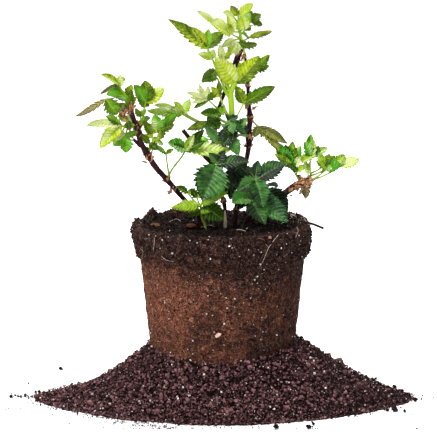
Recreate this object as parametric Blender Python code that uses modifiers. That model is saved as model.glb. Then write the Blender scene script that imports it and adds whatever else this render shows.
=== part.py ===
"""A young bramble bush in its pot-shaped root ball, standing in a heap of loose potting soil.

Each woody cane, each leafy spray, the root ball and the soil heap is one closed solid.
Places of stems and leaves are given in millimetres as the front shows them: across from the root
ball's axis, back from that axis, and up in a plane that leans back by VIEW_TILT. The whole bush is
then twisted about that axis, more with height, so that its left side reaches forward and its right
side back.
"""

import math
from collections import namedtuple

import bmesh
import bpy
from mathutils import Vector, noise

MM = 0.001
VIEW_TILT = math.radians(9)
TWIST = 0.0035
TWIST_FROM = 160.0
FIT_GAP = 0.3
WELD = 0.02

# Root ball: the soil and roots keep the shape of a trade-gallon nursery pot, collar and all.
BALL_BOTTOM = 8.0
BALL_TOP = 174.0
COLLAR_RADIUS = 90.5
COLLAR_HEIGHT = 26.0
BODY_TOP_RADIUS = 82.5
BODY_FOOT_RADIUS = 67.0
BALL_SIDES = 36
TOP_RELIEF = 2.2
COLLAR_RELIEF = 1.6
BODY_RELIEF = 0.63
RELIEF_GRAIN = 9.0

# Soil heap, on each side: how far it spreads, its height at the root ball and its hollowness.
HEAP_MEETS_BALL = 72.0
HEAP_LEFT, HEAP_RIGHT = (200.0, 58.0, 1.75), (192.0, 62.0, 1.12)
HEAP_FRONT, HEAP_BACK = (160.0, 49.0, 1.2), (141.0, 50.0, 1.15)
HEAP_ROUND_FRONT, HEAP_ROUND_BACK = 1.8, 1.5
HEAP_EDGE = 1.4
HEAP_SIDES = 52
HEAP_RINGS = (0.0, 0.1, 0.22, 0.36, 0.52, 0.7, 0.87, 1.0)
HEAP_BLANK = (10.0, 60.0)
HEAP_RELIEF = 2.6
HEAP_GRAIN = 7.5
HEAP_WANDER = 0.035
HEAP_WANDER_GRAIN = 3.1

# Leaves: blades are a little thicker than life, so that each stays a sound solid.
BLADE = 0.7
TOOTH_DEPTH = 0.2
TOOTH_LEAN = 0.45
ROWS_TO_TIP = 1.15
ROWS_BY_LENGTH = ((24.0, 6), (38.0, 8), (90.0, 10))
WIDEST_LOW = 0.85
FOLDED_WIDTH = 12.5
BLADE_ARCH = 0.09
BLADE_FOLD = 0.22
BASE_SINK = 0.3
PETIOLE = 0.8
KNUCKLE = 1.25
SHORTEST_STALK = 2.0
HUB_SINK = 0.8
BUD_SWELL = 1.5
STEM_TAPER = 0.25

# Which way a leaf's upper side looks.
VIEWER = (0.0, -1.0, 0.3)
SKY = (0.0, -0.78, 0.62)
SKY_RIGHT = (0.5, -0.65, 0.55)
SKY_BACK = (0.0, 0.35, 0.95)
BACK = (0.0, 0.9, 0.45)

Cane = namedtuple("Cane", "route radii")
Leaf = namedtuple("Leaf", "along hub faces leaflets")
Spray = namedtuple("Spray", "host node stem radius leaves tone")

# Woody canes, from inside the soil to the cut tip, with the radius at each point.
CANES = {
    "cane_left": Cane(
        [(-17, 12, 155), (-22, 9, 180), (-27, 6, 188), (-38, 0, 200), (-51.5, -6, 216), (-64, -10, 230),
         (-71.5, -12, 242), (-79.5, -14, 255), (-83, -15, 265), (-88, -15, 278), (-90.5, -14, 288)],
        [2.3, 2.3, 2.3, 2.3, 2.5, 2.5, 3.0, 2.6, 2.4, 2.5, 2.3]),
    "cane_centre": Cane(
        [(4.5, -6, 156), (4.5, -6, 175), (3.5, -5, 192), (-2, -3, 212), (-8, 0, 232), (-9, 1, 244),
         (-6.4, 2, 264), (-2, 2, 289), (4, 1, 306), (10, 0, 322), (16, -2, 338), (20.5, -3, 353)],
        [1.9, 1.9, 2.0, 2.1, 2.6, 2.2, 1.9, 1.8, 1.9, 2.4, 3.2, 2.8]),
    "cane_right": Cane(
        [(14, 0, 156), (14.4, 0, 178), (16, 0, 195), (20, 0, 215), (25, 0, 236), (27.8, 0, 252),
         (28.3, 0, 269), (29.2, 1, 280), (27.8, 3, 292), (26.8, 6, 312), (26, 8, 330), (23, 9, 344)],
        [2.2, 2.2, 2.1, 2.1, 2.1, 2.7, 2.7, 2.8, 2.2, 1.5, 1.4, 1.3]),
    "cane_low": Cane(
        [(25, 12, 158), (26, 12, 176), (34, 10, 186), (48, 6, 195), (61, 2, 202.5), (73, -2, 211),
         (82, -4, 215), (89, -5, 217)],
        [2.6, 2.6, 2.6, 2.8, 3.3, 3.6, 3.8, 3.4]),
}
# Short cut stubs that grow from a cane, as one piece with it.
STUBS = {
    "cane_left": [Cane([(-80, -14, 251), (-83.5, -15, 254.5), (-87, -16, 258)], [1.8, 1.7, 1.5])],
    "cane_centre": [
        Cane([(-7, 0, 231), (-12, 1, 237), (-20.3, 2, 245), (-30, 3, 257), (-38, 4, 267.5)],
             [2.0, 2.2, 2.1, 2.0, 2.2])],
    "cane_right": [],
    "cane_low": [Cane([(80, -4, 214), (79, -4, 219), (77.5, -4, 223)], [2.2, 2.2, 1.7])],
}

SPRAYS = {
    "spray_left_tip": Spray("cane_left", 284, [(-92, -16, 293), (-93, -17, 300)], 1.3, [
        Leaf(0.9, (-101, -14, 312), SKY, [((-117.5, -18, 322.5), 9), ((-118.5, -10, 305), 9),
                                          ((-96, -4, 319), 8)]),
        Leaf(0.5, (-113, -22, 297), VIEWER, [((-144, -26, 281.5), 10), ((-101.5, -30, 281.5), 16)]),
        Leaf(1.0, (-93, -17, 300), SKY, [((-112, -27, 301), 18), ((-88, -8, 311), 9)]),
    ], "young"),
    "spray_left_low": Spray("cane_left", 272, [(-91, -20, 272), (-97, -24, 270)], 1.2, [
        Leaf(1.0, (-98.5, -24, 272), SKY, [((-132, -30, 270.5), 11), ((-119, -36, 250.5), 16),
                                           ((-114, -20, 280), 9)]),
        Leaf(0.6, (-94.6, -29, 260), VIEWER, [((-110, -33, 258.5), 11), ((-93.8, -38, 245.5), 15),
                                              ((-82, -33, 265), 8)]),
    ], "young"),
    "spray_left_high": Spray("cane_left", 268, [(-77.5, -15, 277), (-76, -15, 286),
                                                (-74.3, -15, 295)], 0.95, [
        Leaf(1.0, (-74.3, -15, 295), VIEWER, [((-56, -20, 306), 16), ((-75, -9, 316), 18),
                                              ((-86, -24, 311), 12)]),
    ], "young"),
    "spray_left_inner": Spray("cane_left", 244, [(-66, -14, 254), (-62, -17, 262)], 1.1, [
        Leaf(1.0, (-60.2, -18, 266.6), VIEWER, [((-66, -22, 283), 13), ((-43.2, -22, 283), 11),
                                                ((-46, -28, 272), 10), ((-74, -22, 271), 9)]),
        Leaf(0.4, (-68, -4, 259), SKY, [((-57, 2, 252), 8), ((-75, 8, 263), 8)]),
    ], "young"),
    "spray_left_mid": Spray("cane_left", 218, [(-50, -8, 226), (-46, -9, 232)], 1.1, [
        Leaf(1.0, (-34, -11, 248.5), SKY, [((-54, -17, 254), 14), ((-17, -2, 268), 11),
                                           ((11, -18, 245), 18)]),
        Leaf(0.3, (-54.8, -11, 244), SKY, [((-67, -20, 250.5), 8), ((-44, -17, 242), 7)]),
    ], "fresh"),
    "shoot_basal": Spray(None, None, [(-15.5, -12, 158), (-15.7, -12, 171), (-19.3, -14, 181),
                                      (-20.3, -16, 194)], 1.4, [
        Leaf(1.0, (-20.3, -16, 194.5), SKY, [((-50, -26, 189.5), 13), ((7, -27, 206), 12)]),
        Leaf(0.85, (-17, -14, 192), VIEWER, [((2, -24, 177.5), 21)]),
        Leaf(0.9, (-33, -13, 204.5), SKY, [((-44, -15, 211.5), 8), ((-25.5, -15, 209), 6)]),
    ], "fresh"),
    "spray_dark_left": Spray("cane_centre", 210, [(-4, -12, 222), (-4.5, -24, 233)], 1.2, [
        Leaf(1.0, (-4.5, -24, 233), VIEWER, [((-16.5, -35, 197), 34)]),
        Leaf(1.0, (-4.5, -24, 233), SKY, [((28.5, -29, 236), 16)]),
    ], "mature"),
    "spray_dark_inner": Spray("cane_right", 214, [(18, -9, 222), (17, -13, 233)], 1.1, [
        Leaf(1.0, (17, -13, 234), VIEWER, [((25, -17, 211), 21), ((8, -17, 213), 16)]),
    ], "mature"),
    "spray_dark_right": Spray("cane_right", 199, [(22, -14, 203), (26, -25, 212), (28.5, -29, 219),
                                                  (35.2, -33, 217.5)], 1.1, [
        Leaf(1.0, (35.2, -33, 217.5), SKY, [((64.5, -37, 233.5), 21)]),
        Leaf(1.0, (35.2, -33, 217.5), VIEWER, [((41.5, -47, 190), 21), ((17.5, -35, 207), 17)]),
    ], "mature"),
    "spray_dark_low": Spray("cane_right", 188, [(20, -12, 196), (27, -22, 201)], 1.2, [
        Leaf(1.0, (29, -25, 202), SKY, [((66, -41, 176), 26), ((44, -50, 173.5), 22),
                                        ((11, -37, 194), 20)]),
        Leaf(0.5, (46, -10, 209), VIEWER, [((66, -16, 185), 22)]),
    ], "mature"),
    "spray_arching": Spray("cane_right", 281, [(34, -5, 274), (39.5, -9, 270.5)], 0.9, [
        Leaf(1.0, (39.5, -9, 270.5), SKY_RIGHT, [((68, -18, 257), 14), ((58, -17, 246.5), 13),
                                                 ((40, 3, 261), 11)]),
    ], "olive"),
    "spray_centre": Spray("cane_centre", 270, [(-7, -4, 273), (-4, -8, 279)], 1.1, [
        Leaf(1.0, (0, -9, 283), SKY, [((-20.5, -12, 284), 13), ((4, -18, 292), 9), ((-14, -18, 277), 10)]),
        Leaf(0.2, (-11, -7, 275), SKY, [((-34, -10, 267.5), 10)]),
        Leaf(0.1, (-36, -8, 284), SKY, [((-30, -12, 298), 10), ((-46.5, -16, 295), 9),
                                        ((-67.5, -12, 291.5), 11)]),
    ], "fresh"),
    "spray_middle": Spray("cane_right", 262, [(20, -10, 262), (12, -18, 264)], 1.1, [
        Leaf(1.0, (8, -19, 277), VIEWER, [((12.5, -24, 264), 11), ((17, -21, 281), 8)]),
        Leaf(0.5, (18.5, -12, 270), SKY, [((26, -16, 279), 10), ((13, -14, 277.5), 6)]),
        Leaf(1.0, (10, -17, 262), VIEWER, [((18, -22, 242.5), 13), ((1, -22, 251), 12)]),
    ], "mature"),
    "spray_narrow": Spray("cane_centre", 288, [(-7, -3, 292), (-13.2, -6, 297.6)], 0.9, [
        Leaf(1.0, (-13.2, -6, 297.6), SKY, [((-4, -11, 306), 8), ((-24.5, -10, 308), 6),
                                            ((-31, -8, 299.5), 6), ((-27, -14, 288.5), 6),
                                            ((-13, 2, 311), 6)]),
    ], "young"),
    "shoot_centre": Spray("cane_centre", 246, [(0, -8, 256), (7, -11, 267), (10, -11, 278), (8.8, -11, 294),
                                               (7.5, -10, 305), (14.2, -10, 314.5)], 2.0, [
        Leaf(1.0, (14.2, -10, 314.5), VIEWER, [((-6, -19, 339), 20), ((42, -21, 332), 20)]),
        Leaf(0.86, (-13.9, -17, 347.8), SKY, [((-50, -24, 374.8), 18), ((3, -13, 364.3), 14),
                                              ((-28, -3, 354), 11)]),
        Leaf(0.8, (-4.5, -5, 326), SKY, [((-19, -9, 315.5), 11), ((-17, 5, 322), 10)]),
        Leaf(0.4, (22.5, -9, 294), VIEWER, [((15, -13, 311), 12), ((53.5, -17, 309), 17)]),
    ], "young"),
    "spray_crown": Spray("cane_centre", 350, [(19, -6, 360), (17.5, -7, 371), (17, -6, 382)], 1.2, [
        Leaf(0.6, (-5, -3, 374), SKY, [((-23.5, -5, 387.5), 10)]),
        Leaf(0.3, (8, -12, 366), SKY, [((-9, -20, 379), 18)]),
        Leaf(0.75, (14, -9, 378), SKY, [((2, -12, 386), 11)]),
        Leaf(1.0, (17, -6, 382.5), VIEWER, [((32, -9, 393.5), 10), ((9.5, -3, 391), 8), ((32, 2, 386), 9)]),
        Leaf(0.5, (30, -9, 375.5), SKY, [((39.5, -10, 383.5), 11), ((41.5, -14, 372.5), 9)]),
        Leaf(0.4, (24, -13, 367), VIEWER, [((20, -19, 381), 13)]),
        Leaf(0.2, (28, -7, 359.5), SKY, [((50, -10, 364), 8), ((21, -15, 364), 7)]),
        Leaf(0.1, (23, -10, 350), SKY, [((9.5, -15, 353), 9), ((36, -10, 356), 9)]),
    ], "young"),
    "spray_high_right": Spray("cane_right", 318, [(31, 2, 323), (36, 0, 328)], 0.9, [
        Leaf(1.0, (36, 0, 328), SKY, [((48.5, -4, 342), 9), ((47, -8, 331), 10), ((33, -3, 339), 7)]),
    ], "fresh"),
    "spray_low_left": Spray("cane_low", 214.5, [(76, -6, 221), (71, -9, 230.5)], 0.95, [
        Leaf(1.0, (71, -9, 230.5), VIEWER, [((55, -14, 255), 12), ((53, -14, 244), 8),
                                            ((72, -6, 256.5), 9), ((81, -9, 250), 8)]),
    ], "fresh"),
    "spray_low_right": Spray("cane_low", 216.8, [(89.5, -6, 223), (89.3, -8, 233), (89.7, -9, 242.5)], 0.95, [
        Leaf(1.0, (89.7, -9, 242.5), SKY, [((90.5, -9, 264), 10), ((83.5, -17, 256), 9),
                                           ((107, -14, 250.5), 10), ((81, -20, 235), 11)]),
        Leaf(0.1, (105, -9, 228), SKY, [((120, -17, 234), 14), ((114, -3, 242.5), 10),
                                        ((95, -14, 237), 8)]),
        Leaf(0.1, (119.5, -10, 231.5), SKY, [((139, -14, 238), 11)]),
    ], "fresh"),
    "spray_back_left": Spray("cane_left", 262, [(-84, -4, 266), (-84, 8, 271)], 1.0, [
        Leaf(1.0, (-84, 10, 272), BACK, [((-98, 26, 279), 14), ((-70, 26, 279), 14), ((-84, 34, 274), 15)]),
    ], "fresh"),
    "spray_back_low": Spray("cane_centre", 196, [(-1, 8, 203), (-7, 20, 211)], 1.1, [
        Leaf(1.0, (-8, 22, 212), SKY_BACK, [((-23, 40, 214), 18), ((1, 44, 221), 16), ((-13, 46, 203), 18)]),
    ], "mature"),
    "spray_back_right": Spray("cane_right", 202, [(27, 10, 206), (37, 20, 210)], 1.1, [
        Leaf(1.0, (38, 22, 211), SKY_BACK, [((57, 38, 212), 18), ((39, 46, 222), 18), ((47, 46, 200), 16)]),
    ], "mature"),
    "spray_back_middle": Spray("cane_right", 258, [(20, 9, 266), (10, 20, 272)], 1.0, [
        Leaf(1.0, (8, 22, 273), SKY_BACK, [((-8, 38, 280), 15), ((20, 40, 278), 15), ((6, 46, 268), 14)]),
    ], "fresh"),
    "spray_back_inner": Spray("cane_centre", 240, [(-13, 10, 245), (-17, 18, 249)], 1.0, [
        Leaf(1.0, (-17, 20, 250), SKY_BACK, [((-32, 34, 253), 13), ((-4, 38, 252), 14),
                                             ((-18, 44, 262), 12)]),
    ], "fresh"),
    "spray_back_high": Spray("cane_right", 312, [(24, 14, 318), (20, 20, 323)], 0.95, [
        Leaf(1.0, (19, 22, 324), SKY_BACK, [((6, 36, 334), 14), ((35, 36, 328), 14), ((20, 42, 336), 12)]),
    ], "young"),
    "spray_back_crown": Spray("cane_right", 341, [(22, 15, 354), (20, 19, 364)], 0.95, [
        Leaf(1.0, (19.5, 20, 367), SKY_BACK, [((8, 34, 372), 12), ((32, 34, 373), 12), ((20, 38, 380), 11)]),
    ], "young"),
}

TONES = {
    "young": ((0.33, 0.5, 0.05, 1.0), 0.5),
    "fresh": ((0.17, 0.4, 0.04, 1.0), 0.5),
    "olive": ((0.28, 0.33, 0.07, 1.0), 0.55),
    "mature": ((0.03, 0.16, 0.04, 1.0), 0.42),
    "cane": ((0.06, 0.02, 0.018, 1.0), 0.5),
    "root_ball": ((0.14, 0.06, 0.03, 1.0), 0.95),
    "soil": ((0.035, 0.02, 0.018, 1.0), 0.95),
}


def seen(place):
    """The point in the frame, in metres, of a place given across, back and up in the tilted plane."""
    across, back, up = place
    back += TWIST * across * (up - TWIST_FROM)
    height = (up - back * math.sin(VIEW_TILT)) / math.cos(VIEW_TILT)
    return Vector((across, back, height)) * MM


def finish_of(tone):
    """The material of one tone, made once."""
    found = bpy.data.materials.get(tone)
    if found:
        return found
    colour, roughness = TONES[tone]
    material = bpy.data.materials.new(tone)
    material.use_nodes = True
    shader = material.node_tree.nodes["Principled BSDF"]
    shader.inputs["Base Color"].default_value = colour
    shader.inputs["Roughness"].default_value = roughness
    shader.inputs["Metallic"].default_value = 0.0
    return material


def link(name, data, collection):
    """A new object of this mesh or curve in the collection."""
    made = bpy.data.objects.new(name, data)
    collection.objects.link(made)
    return made


def drop(objects):
    """Removes helper objects and their data."""
    for helper in list(objects):
        bpy.data.objects.remove(helper)


def applied(made):
    """The object with its modifiers applied and its loose scraps dropped."""
    bpy.context.view_layer.update()
    graph = bpy.context.evaluated_depsgraph_get()
    made.data = bpy.data.meshes.new_from_object(made.evaluated_get(graph))
    made.modifiers.clear()
    shape = bmesh.new()
    shape.from_mesh(made.data)
    keep_largest(shape)
    shape.to_mesh(made.data)
    shape.free()
    return made


def keep_largest(shape):
    """Deletes every island of the mesh but the one with most corners."""
    unseen, largest = set(shape.verts), set()
    while unseen:
        island, edge = set(), [unseen.pop()]
        while edge:
            corner = edge.pop()
            island.add(corner)
            near = {side.other_vert(corner) for side in corner.link_edges} & unseen
            unseen -= near
            edge.extend(near)
        if len(island) > len(largest):
            largest = island
    bmesh.ops.delete(shape, geom=[v for v in shape.verts if v not in largest], context="VERTS")


def boolean(made, others, operation):
    """Joins the others to this object, or cuts them from it."""
    modifier = made.modifiers.new(operation.lower(), "BOOLEAN")
    modifier.operation = operation
    modifier.operand_type = "COLLECTION"
    modifier.collection = others
    modifier.solver = "MANIFOLD"
    return applied(made)


def smooth_route(points, values, between):
    """A curve through the points, with this many steps between each two, and the values along it."""
    route, sizes = [], []
    for i in range(len(points) - 1):
        before, after = points[max(i - 1, 0)], points[min(i + 2, len(points) - 1)]
        start, end = points[i], points[i + 1]
        for step in range(between):
            t = step / between
            route.append(0.5 * (2 * start + (end - before) * t
                                + (2 * before - 5 * start + 4 * end - after) * t ** 2
                                + (3 * start - before - 3 * end + after) * t ** 3))
            sizes.append(values[i] + (values[i + 1] - values[i]) * t)
    return route + [points[-1]], sizes + [values[-1]]


def tube(name, points, radii, collection, between=2, level=1):
    """A round stem along the points, as a closed mesh. Radii are in millimetres."""
    route, sizes = smooth_route(points, radii, between)
    line = bpy.data.curves.new(name, "CURVE")
    line.dimensions = "3D"
    line.bevel_depth = MM
    line.bevel_resolution = level
    line.use_fill_caps = True
    spline = line.splines.new("POLY")
    spline.points.add(len(route) - 1)
    for point, place, size in zip(spline.points, route, sizes):
        point.co = (*place, 1.0)
        point.radius = size
    made = link(name, line, collection)
    bpy.context.view_layer.update()
    graph = bpy.context.evaluated_depsgraph_get()
    mesh = bpy.data.meshes.new_from_object(made.evaluated_get(graph))
    bpy.data.objects.remove(made)
    shape = bmesh.new()
    shape.from_mesh(mesh)
    bmesh.ops.remove_doubles(shape, verts=shape.verts, dist=WELD * MM)
    shape.to_mesh(mesh)
    shape.free()
    return link(name, mesh, collection)


def outline(t):
    """Half the width of a bramble leaflet along its length, where 1 is the widest."""
    return max(math.sin(math.pi * t ** WIDEST_LOW), 0.0)


def leaflet(name, base, tip, width, faces, collection):
    """One toothed blade, arched along its rib; all but the smallest are folded up along it too."""
    along = (tip - base).normalized()
    base = base - along * BASE_SINK * MM
    length = (tip - base).length
    up = (Vector(faces) - along * Vector(faces).dot(along)).normalized()
    side = along.cross(up)
    rows = next(rows for longest, rows in ROWS_BY_LENGTH if length < longest * MM)
    columns = 1 if width < FOLDED_WIDTH else 2
    shape = bmesh.new()
    bmesh.ops.create_grid(shape, x_segments=columns, y_segments=rows, size=1.0)
    for corner in shape.verts:
        row = round((corner.co.y + 1) / 2 * rows)
        edge = corner.co.x
        t = (row / rows) ** ROWS_TO_TIP
        tooth = row % 2 == 0
        half = width / 2 * MM * outline(t) * (1.0 if tooth else 1.0 - TOOTH_DEPTH)
        lean = TOOTH_LEAN * length / rows * abs(edge) if tooth and 0 < row < rows else 0.0
        rise = BLADE_ARCH * length * 4 * t * (1 - t) + BLADE_FOLD * half * abs(edge)
        corner.co = base + along * (t * length + lean) + side * (edge * half) + up * rise
    bmesh.ops.remove_doubles(shape, verts=shape.verts, dist=WELD * MM)
    bmesh.ops.triangulate(shape, faces=shape.faces, quad_method="FIXED")
    mesh = bpy.data.meshes.new(name)
    shape.to_mesh(mesh)
    shape.free()
    made = link(name, mesh, collection)
    thick = made.modifiers.new("thickness", "SOLIDIFY")
    thick.thickness = BLADE * MM
    thick.offset = 0.0
    return made


def point_along(route, t):
    """The point at this share of a route's length."""
    lengths = [(b - a).length for a, b in zip(route, route[1:])]
    left = t * sum(lengths)
    for start, end, length in zip(route, route[1:], lengths):
        if left <= length:
            return start.lerp(end, left / length)
        left -= length
    return route[-1].copy()


def node_of(cane, up):
    """The point on a cane's axis at this height, as the front shows it."""
    for low, high in zip(cane.route, cane.route[1:]):
        if low[2] <= up <= high[2]:
            share = (up - low[2]) / (high[2] - low[2])
            return seen(low).lerp(seen(high), share)
    return seen(cane.route[-1])


def stem_of(spray):
    """The points and radii of a spray's own stem, which starts as a swollen bud on its cane."""
    points = [seen(place) for place in spray.stem]
    if spray.host:
        points.insert(0, node_of(CANES[spray.host], spray.node))
    swell = BUD_SWELL if spray.host else 1.0
    radii = [spray.radius * (swell if i == 0 else 1.0 - STEM_TAPER * i / len(points))
             for i in range(len(points))]
    return points, radii


def make_leaf(name, stem, leaf, parts):
    """A leaf's stalk, from its place on the stem to its hub, and its leaflets."""
    hub = seen(leaf.hub)
    start = point_along(stem, leaf.along)
    if (hub - start).length < SHORTEST_STALK * MM:
        hub = start.lerp(stem[-2], HUB_SINK * MM / (start - stem[-2]).length)
    else:
        run = (hub - start).normalized()
        route = [start, hub - run * KNUCKLE * MM, hub + run * KNUCKLE * MM]
        tube(f"{name}_stalk", route, [PETIOLE, PETIOLE, KNUCKLE], parts, 1, 0)
    for i, (tip, width) in enumerate(leaf.leaflets):
        leaflet(f"{name}_leaflet_{i}", hub, seen(tip), width, leaf.faces, parts)


def make_spray(name, spray, cutters, bush):
    """A leafy spray: stem, stalks and leaflets joined in one solid, trimmed where it meets its cane."""
    points, radii = stem_of(spray)
    made = tube(name, points, radii, bush, 1 if spray.host else 2, 1)
    parts = bpy.data.collections.new(f"{name}_parts")
    bpy.context.scene.collection.children.link(parts)
    for i, leaf in enumerate(spray.leaves):
        make_leaf(f"{name}_{i}", points, leaf, parts)
    boolean(made, parts, "UNION")
    drop(parts.objects)
    bpy.data.collections.remove(parts)
    if spray.host:
        boolean(made, cutters, "DIFFERENCE")
    made.data.materials.append(finish_of(spray.tone))
    return made


def cane_tubes(name, grow, collection):
    """A cane's main stem and its stubs, each made wider by grow millimetres."""
    tubes = []
    for i, cane in enumerate([CANES[name]] + STUBS[name]):
        points = [seen(place) for place in cane.route]
        if grow:
            points[0] = points[0] + (points[0] - points[1]).normalized() * grow * MM
            points[-1] = points[-1] + (points[-1] - points[-2]).normalized() * grow * MM
        radii = [radius + grow for radius in cane.radii]
        tubes.append(tube(f"{name}_{i}", points, radii, collection, 2, 1))
    return tubes


def make_cane(name, bush):
    """A woody cane with its cut stubs, as one solid."""
    parts = bpy.data.collections.new(f"{name}_stubs")
    bpy.context.scene.collection.children.link(parts)
    made, *stubs = cane_tubes(name, 0.0, parts)
    parts.objects.unlink(made)
    bush.objects.link(made)
    made.name = name
    if stubs:
        boolean(made, parts, "UNION")
    drop(parts.objects)
    bpy.data.collections.remove(parts)
    made.data.materials.append(finish_of("cane"))
    made.data.shade_smooth()
    made.data.set_sharp_from_angle(angle=math.radians(40))
    return made


def turned(name, profile, sides, collection):
    """A closed turned solid from a profile that runs from the top of the axis down to its foot."""
    mesh = bpy.data.meshes.new(name)
    mesh.from_pydata([(r * MM, 0, z * MM) for r, z in profile],
                     [(i, i + 1) for i in range(len(profile) - 1)], [])
    made = link(name, mesh, collection)
    screw = made.modifiers.new("turned", "SCREW")
    screw.steps = screw.render_steps = sides
    screw.use_merge_vertices = True
    screw.merge_threshold = WELD * MM
    screw.use_normal_calculate = False
    return applied(made)


def split_alike(made):
    """Splits the faces into triangles by one rule, so that a copy with a gap all round is facetted alike."""
    shape = bmesh.new()
    shape.from_mesh(made.data)
    bmesh.ops.triangulate(shape, faces=shape.faces, quad_method="FIXED")
    shape.to_mesh(made.data)
    shape.free()
    return made


def ball_profile(grow):
    """The root ball's outline, from the middle of its top to the middle of its foot."""
    collar_foot = BALL_TOP - COLLAR_HEIGHT
    taper = (BODY_TOP_RADIUS - BODY_FOOT_RADIUS) / (collar_foot - BALL_BOTTOM)
    body = [(BODY_TOP_RADIUS - taper * (collar_foot - z) + grow, z) for z in (142, 110, 78, 14)]
    top = [(r, BALL_TOP + rise) for r, rise in ((0, -2), (26, -1.5), (50, -1), (70, 0.5), (83, 1.5))]
    collar = [(COLLAR_RADIUS - cut + grow, z)
              for cut, z in ((1, BALL_TOP - 1), (0, BALL_TOP - 6), (1, BALL_TOP - 16),
                             (2.5, collar_foot + 2), (5.5, collar_foot - 2))]
    foot = BALL_BOTTOM - grow
    base = [(BODY_FOOT_RADIUS - 2 + grow, foot), (BODY_FOOT_RADIUS / 2, foot), (0, foot)]
    return [*top, *collar, *body, *base]


def make_ball(name, grow, collection):
    """The root ball, with the lumps of its soil raised by a formula."""
    made = turned(name, ball_profile(grow), BALL_SIDES, collection)
    for corner in made.data.vertices:
        x, y, z = corner.co / MM
        reach = math.hypot(x, y)
        if z < BALL_BOTTOM + 1 or reach < 1:
            continue
        angle = math.atan2(y, x)
        around = Vector((math.cos(angle), math.sin(angle), 0.0))
        lump = noise.noise((around + Vector((0, 0, z / COLLAR_RADIUS))) * RELIEF_GRAIN)
        if z > BALL_TOP - 4 and reach < BODY_TOP_RADIUS + 1:
            corner.co.z += TOP_RELIEF * lump * MM
            continue
        relief = COLLAR_RELIEF if z > BALL_TOP - COLLAR_HEIGHT else BODY_RELIEF
        corner.co += around * relief * lump * MM
    return split_alike(made)


def heap_side(angle):
    """The heap's reach, its height at the root ball and its hollowness in this direction."""
    across, back = math.cos(angle), math.sin(angle)
    side = HEAP_RIGHT if across > 0 else HEAP_LEFT
    end, power = (HEAP_BACK, HEAP_ROUND_BACK) if back > 0 else (HEAP_FRONT, HEAP_ROUND_FRONT)
    reach = (abs(across / side[0]) ** power + abs(back / end[0]) ** power) ** (-1 / power)
    share = across ** 2
    return reach, end[1] + (side[1] - end[1]) * share, end[2] + (side[2] - end[2]) * share


def heap_point(ring, angle):
    """A point of the heap's upper surface, where ring 0 meets the root ball and ring 1 is the edge."""
    reach, top, hollow = heap_side(angle)
    around = Vector((math.cos(angle), math.sin(angle), 0.0))
    reach *= 1 + HEAP_WANDER * noise.noise(around * HEAP_WANDER_GRAIN)
    inner = HEAP_MEETS_BALL - 3
    radius = inner + (reach - inner) * ring
    height = max(top * (1 - ring) ** hollow, HEAP_EDGE)
    if 0 < ring < 1:
        lump = noise.noise(around * radius / HEAP_GRAIN)
        height += HEAP_RELIEF * lump * math.sqrt(1 - ring)
    return (around * radius + Vector((0, 0, max(height, HEAP_EDGE)))) * MM


def make_heap(bush, ball_cutter):
    """The heap of loose soil, flat underneath, with a socket that the root ball stands in."""
    spread, rise = HEAP_BLANK
    profile = [(0, rise), *[(HEAP_MEETS_BALL + spread * ring, rise - ring) for ring in HEAP_RINGS],
               (HEAP_MEETS_BALL + spread, 0), (0, 0)]
    made = turned("soil_heap", profile, HEAP_SIDES, bush)
    for corner in made.data.vertices:
        x, y, z = corner.co / MM
        reach = math.hypot(x, y)
        if reach < HEAP_MEETS_BALL - 1:
            continue
        angle = math.atan2(y, x)
        ring = min(max((reach - HEAP_MEETS_BALL) / spread, 0.0), 1.0)
        if z > 1:
            corner.co = heap_point(ring, angle)
        else:
            edge = heap_point(1.0, angle)
            corner.co = (edge.x, edge.y, 0.0)
    boolean(made, ball_cutter, "DIFFERENCE")
    made.data.materials.append(finish_of("soil"))
    return made


def helpers(name):
    """A collection for cutters, which aren't part of the bush."""
    collection = bpy.data.collections.new(name)
    bpy.context.scene.collection.children.link(collection)
    return collection


def hide(collection):
    """Marks cutters as helpers."""
    for cutter in collection.objects:
        cutter.hide_render = True
        cutter.display_type = "WIRE"


def main():
    """Builds the bush, the root ball and the heap."""
    for old in list(bpy.data.objects):
        bpy.data.objects.remove(old)
    bush = bpy.data.collections.new("potted_bramble_bush")
    bpy.context.scene.collection.children.link(bush)

    stem_cutters = helpers("stem_cutters")
    for name in CANES:
        make_cane(name, bush)
        cane_tubes(name, FIT_GAP, stem_cutters)
    for name, spray in SPRAYS.items():
        make_spray(name, spray, stem_cutters, bush)
        if spray.host is None:
            points, radii = stem_of(spray)
            points[0] = points[0] + (points[0] - points[1]).normalized() * FIT_GAP * MM
            tube(f"{name}_cutter", points, [r + FIT_GAP for r in radii], stem_cutters, 2, 1)

    ball_cutter = helpers("ball_cutter")
    make_ball("ball_cutter", FIT_GAP, ball_cutter)
    make_heap(bush, ball_cutter)
    ball = make_ball("root_ball", 0.0, bush)
    boolean(ball, stem_cutters, "DIFFERENCE")
    ball.data.materials.append(finish_of("root_ball"))
    hide(stem_cutters)
    hide(ball_cutter)


main()
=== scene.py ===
"""Looks of a young bramble bush in its pot-shaped root ball, standing in a heap of loose soil.

Places of stems and leaves are in millimetres as the front shows them: across from the root ball's
axis, back from that axis, and up in a plane that leans back by VIEW_TILT. The whole bush is then
twisted about that axis, more with height. Meshes are made in millimetres and stored in metres.
"""

import logging
import math
from collections.abc import Callable
from dataclasses import dataclass, field
from enum import Enum
from functools import cache, partial

import bpy
import numpy as np
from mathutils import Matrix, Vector, noise


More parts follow.
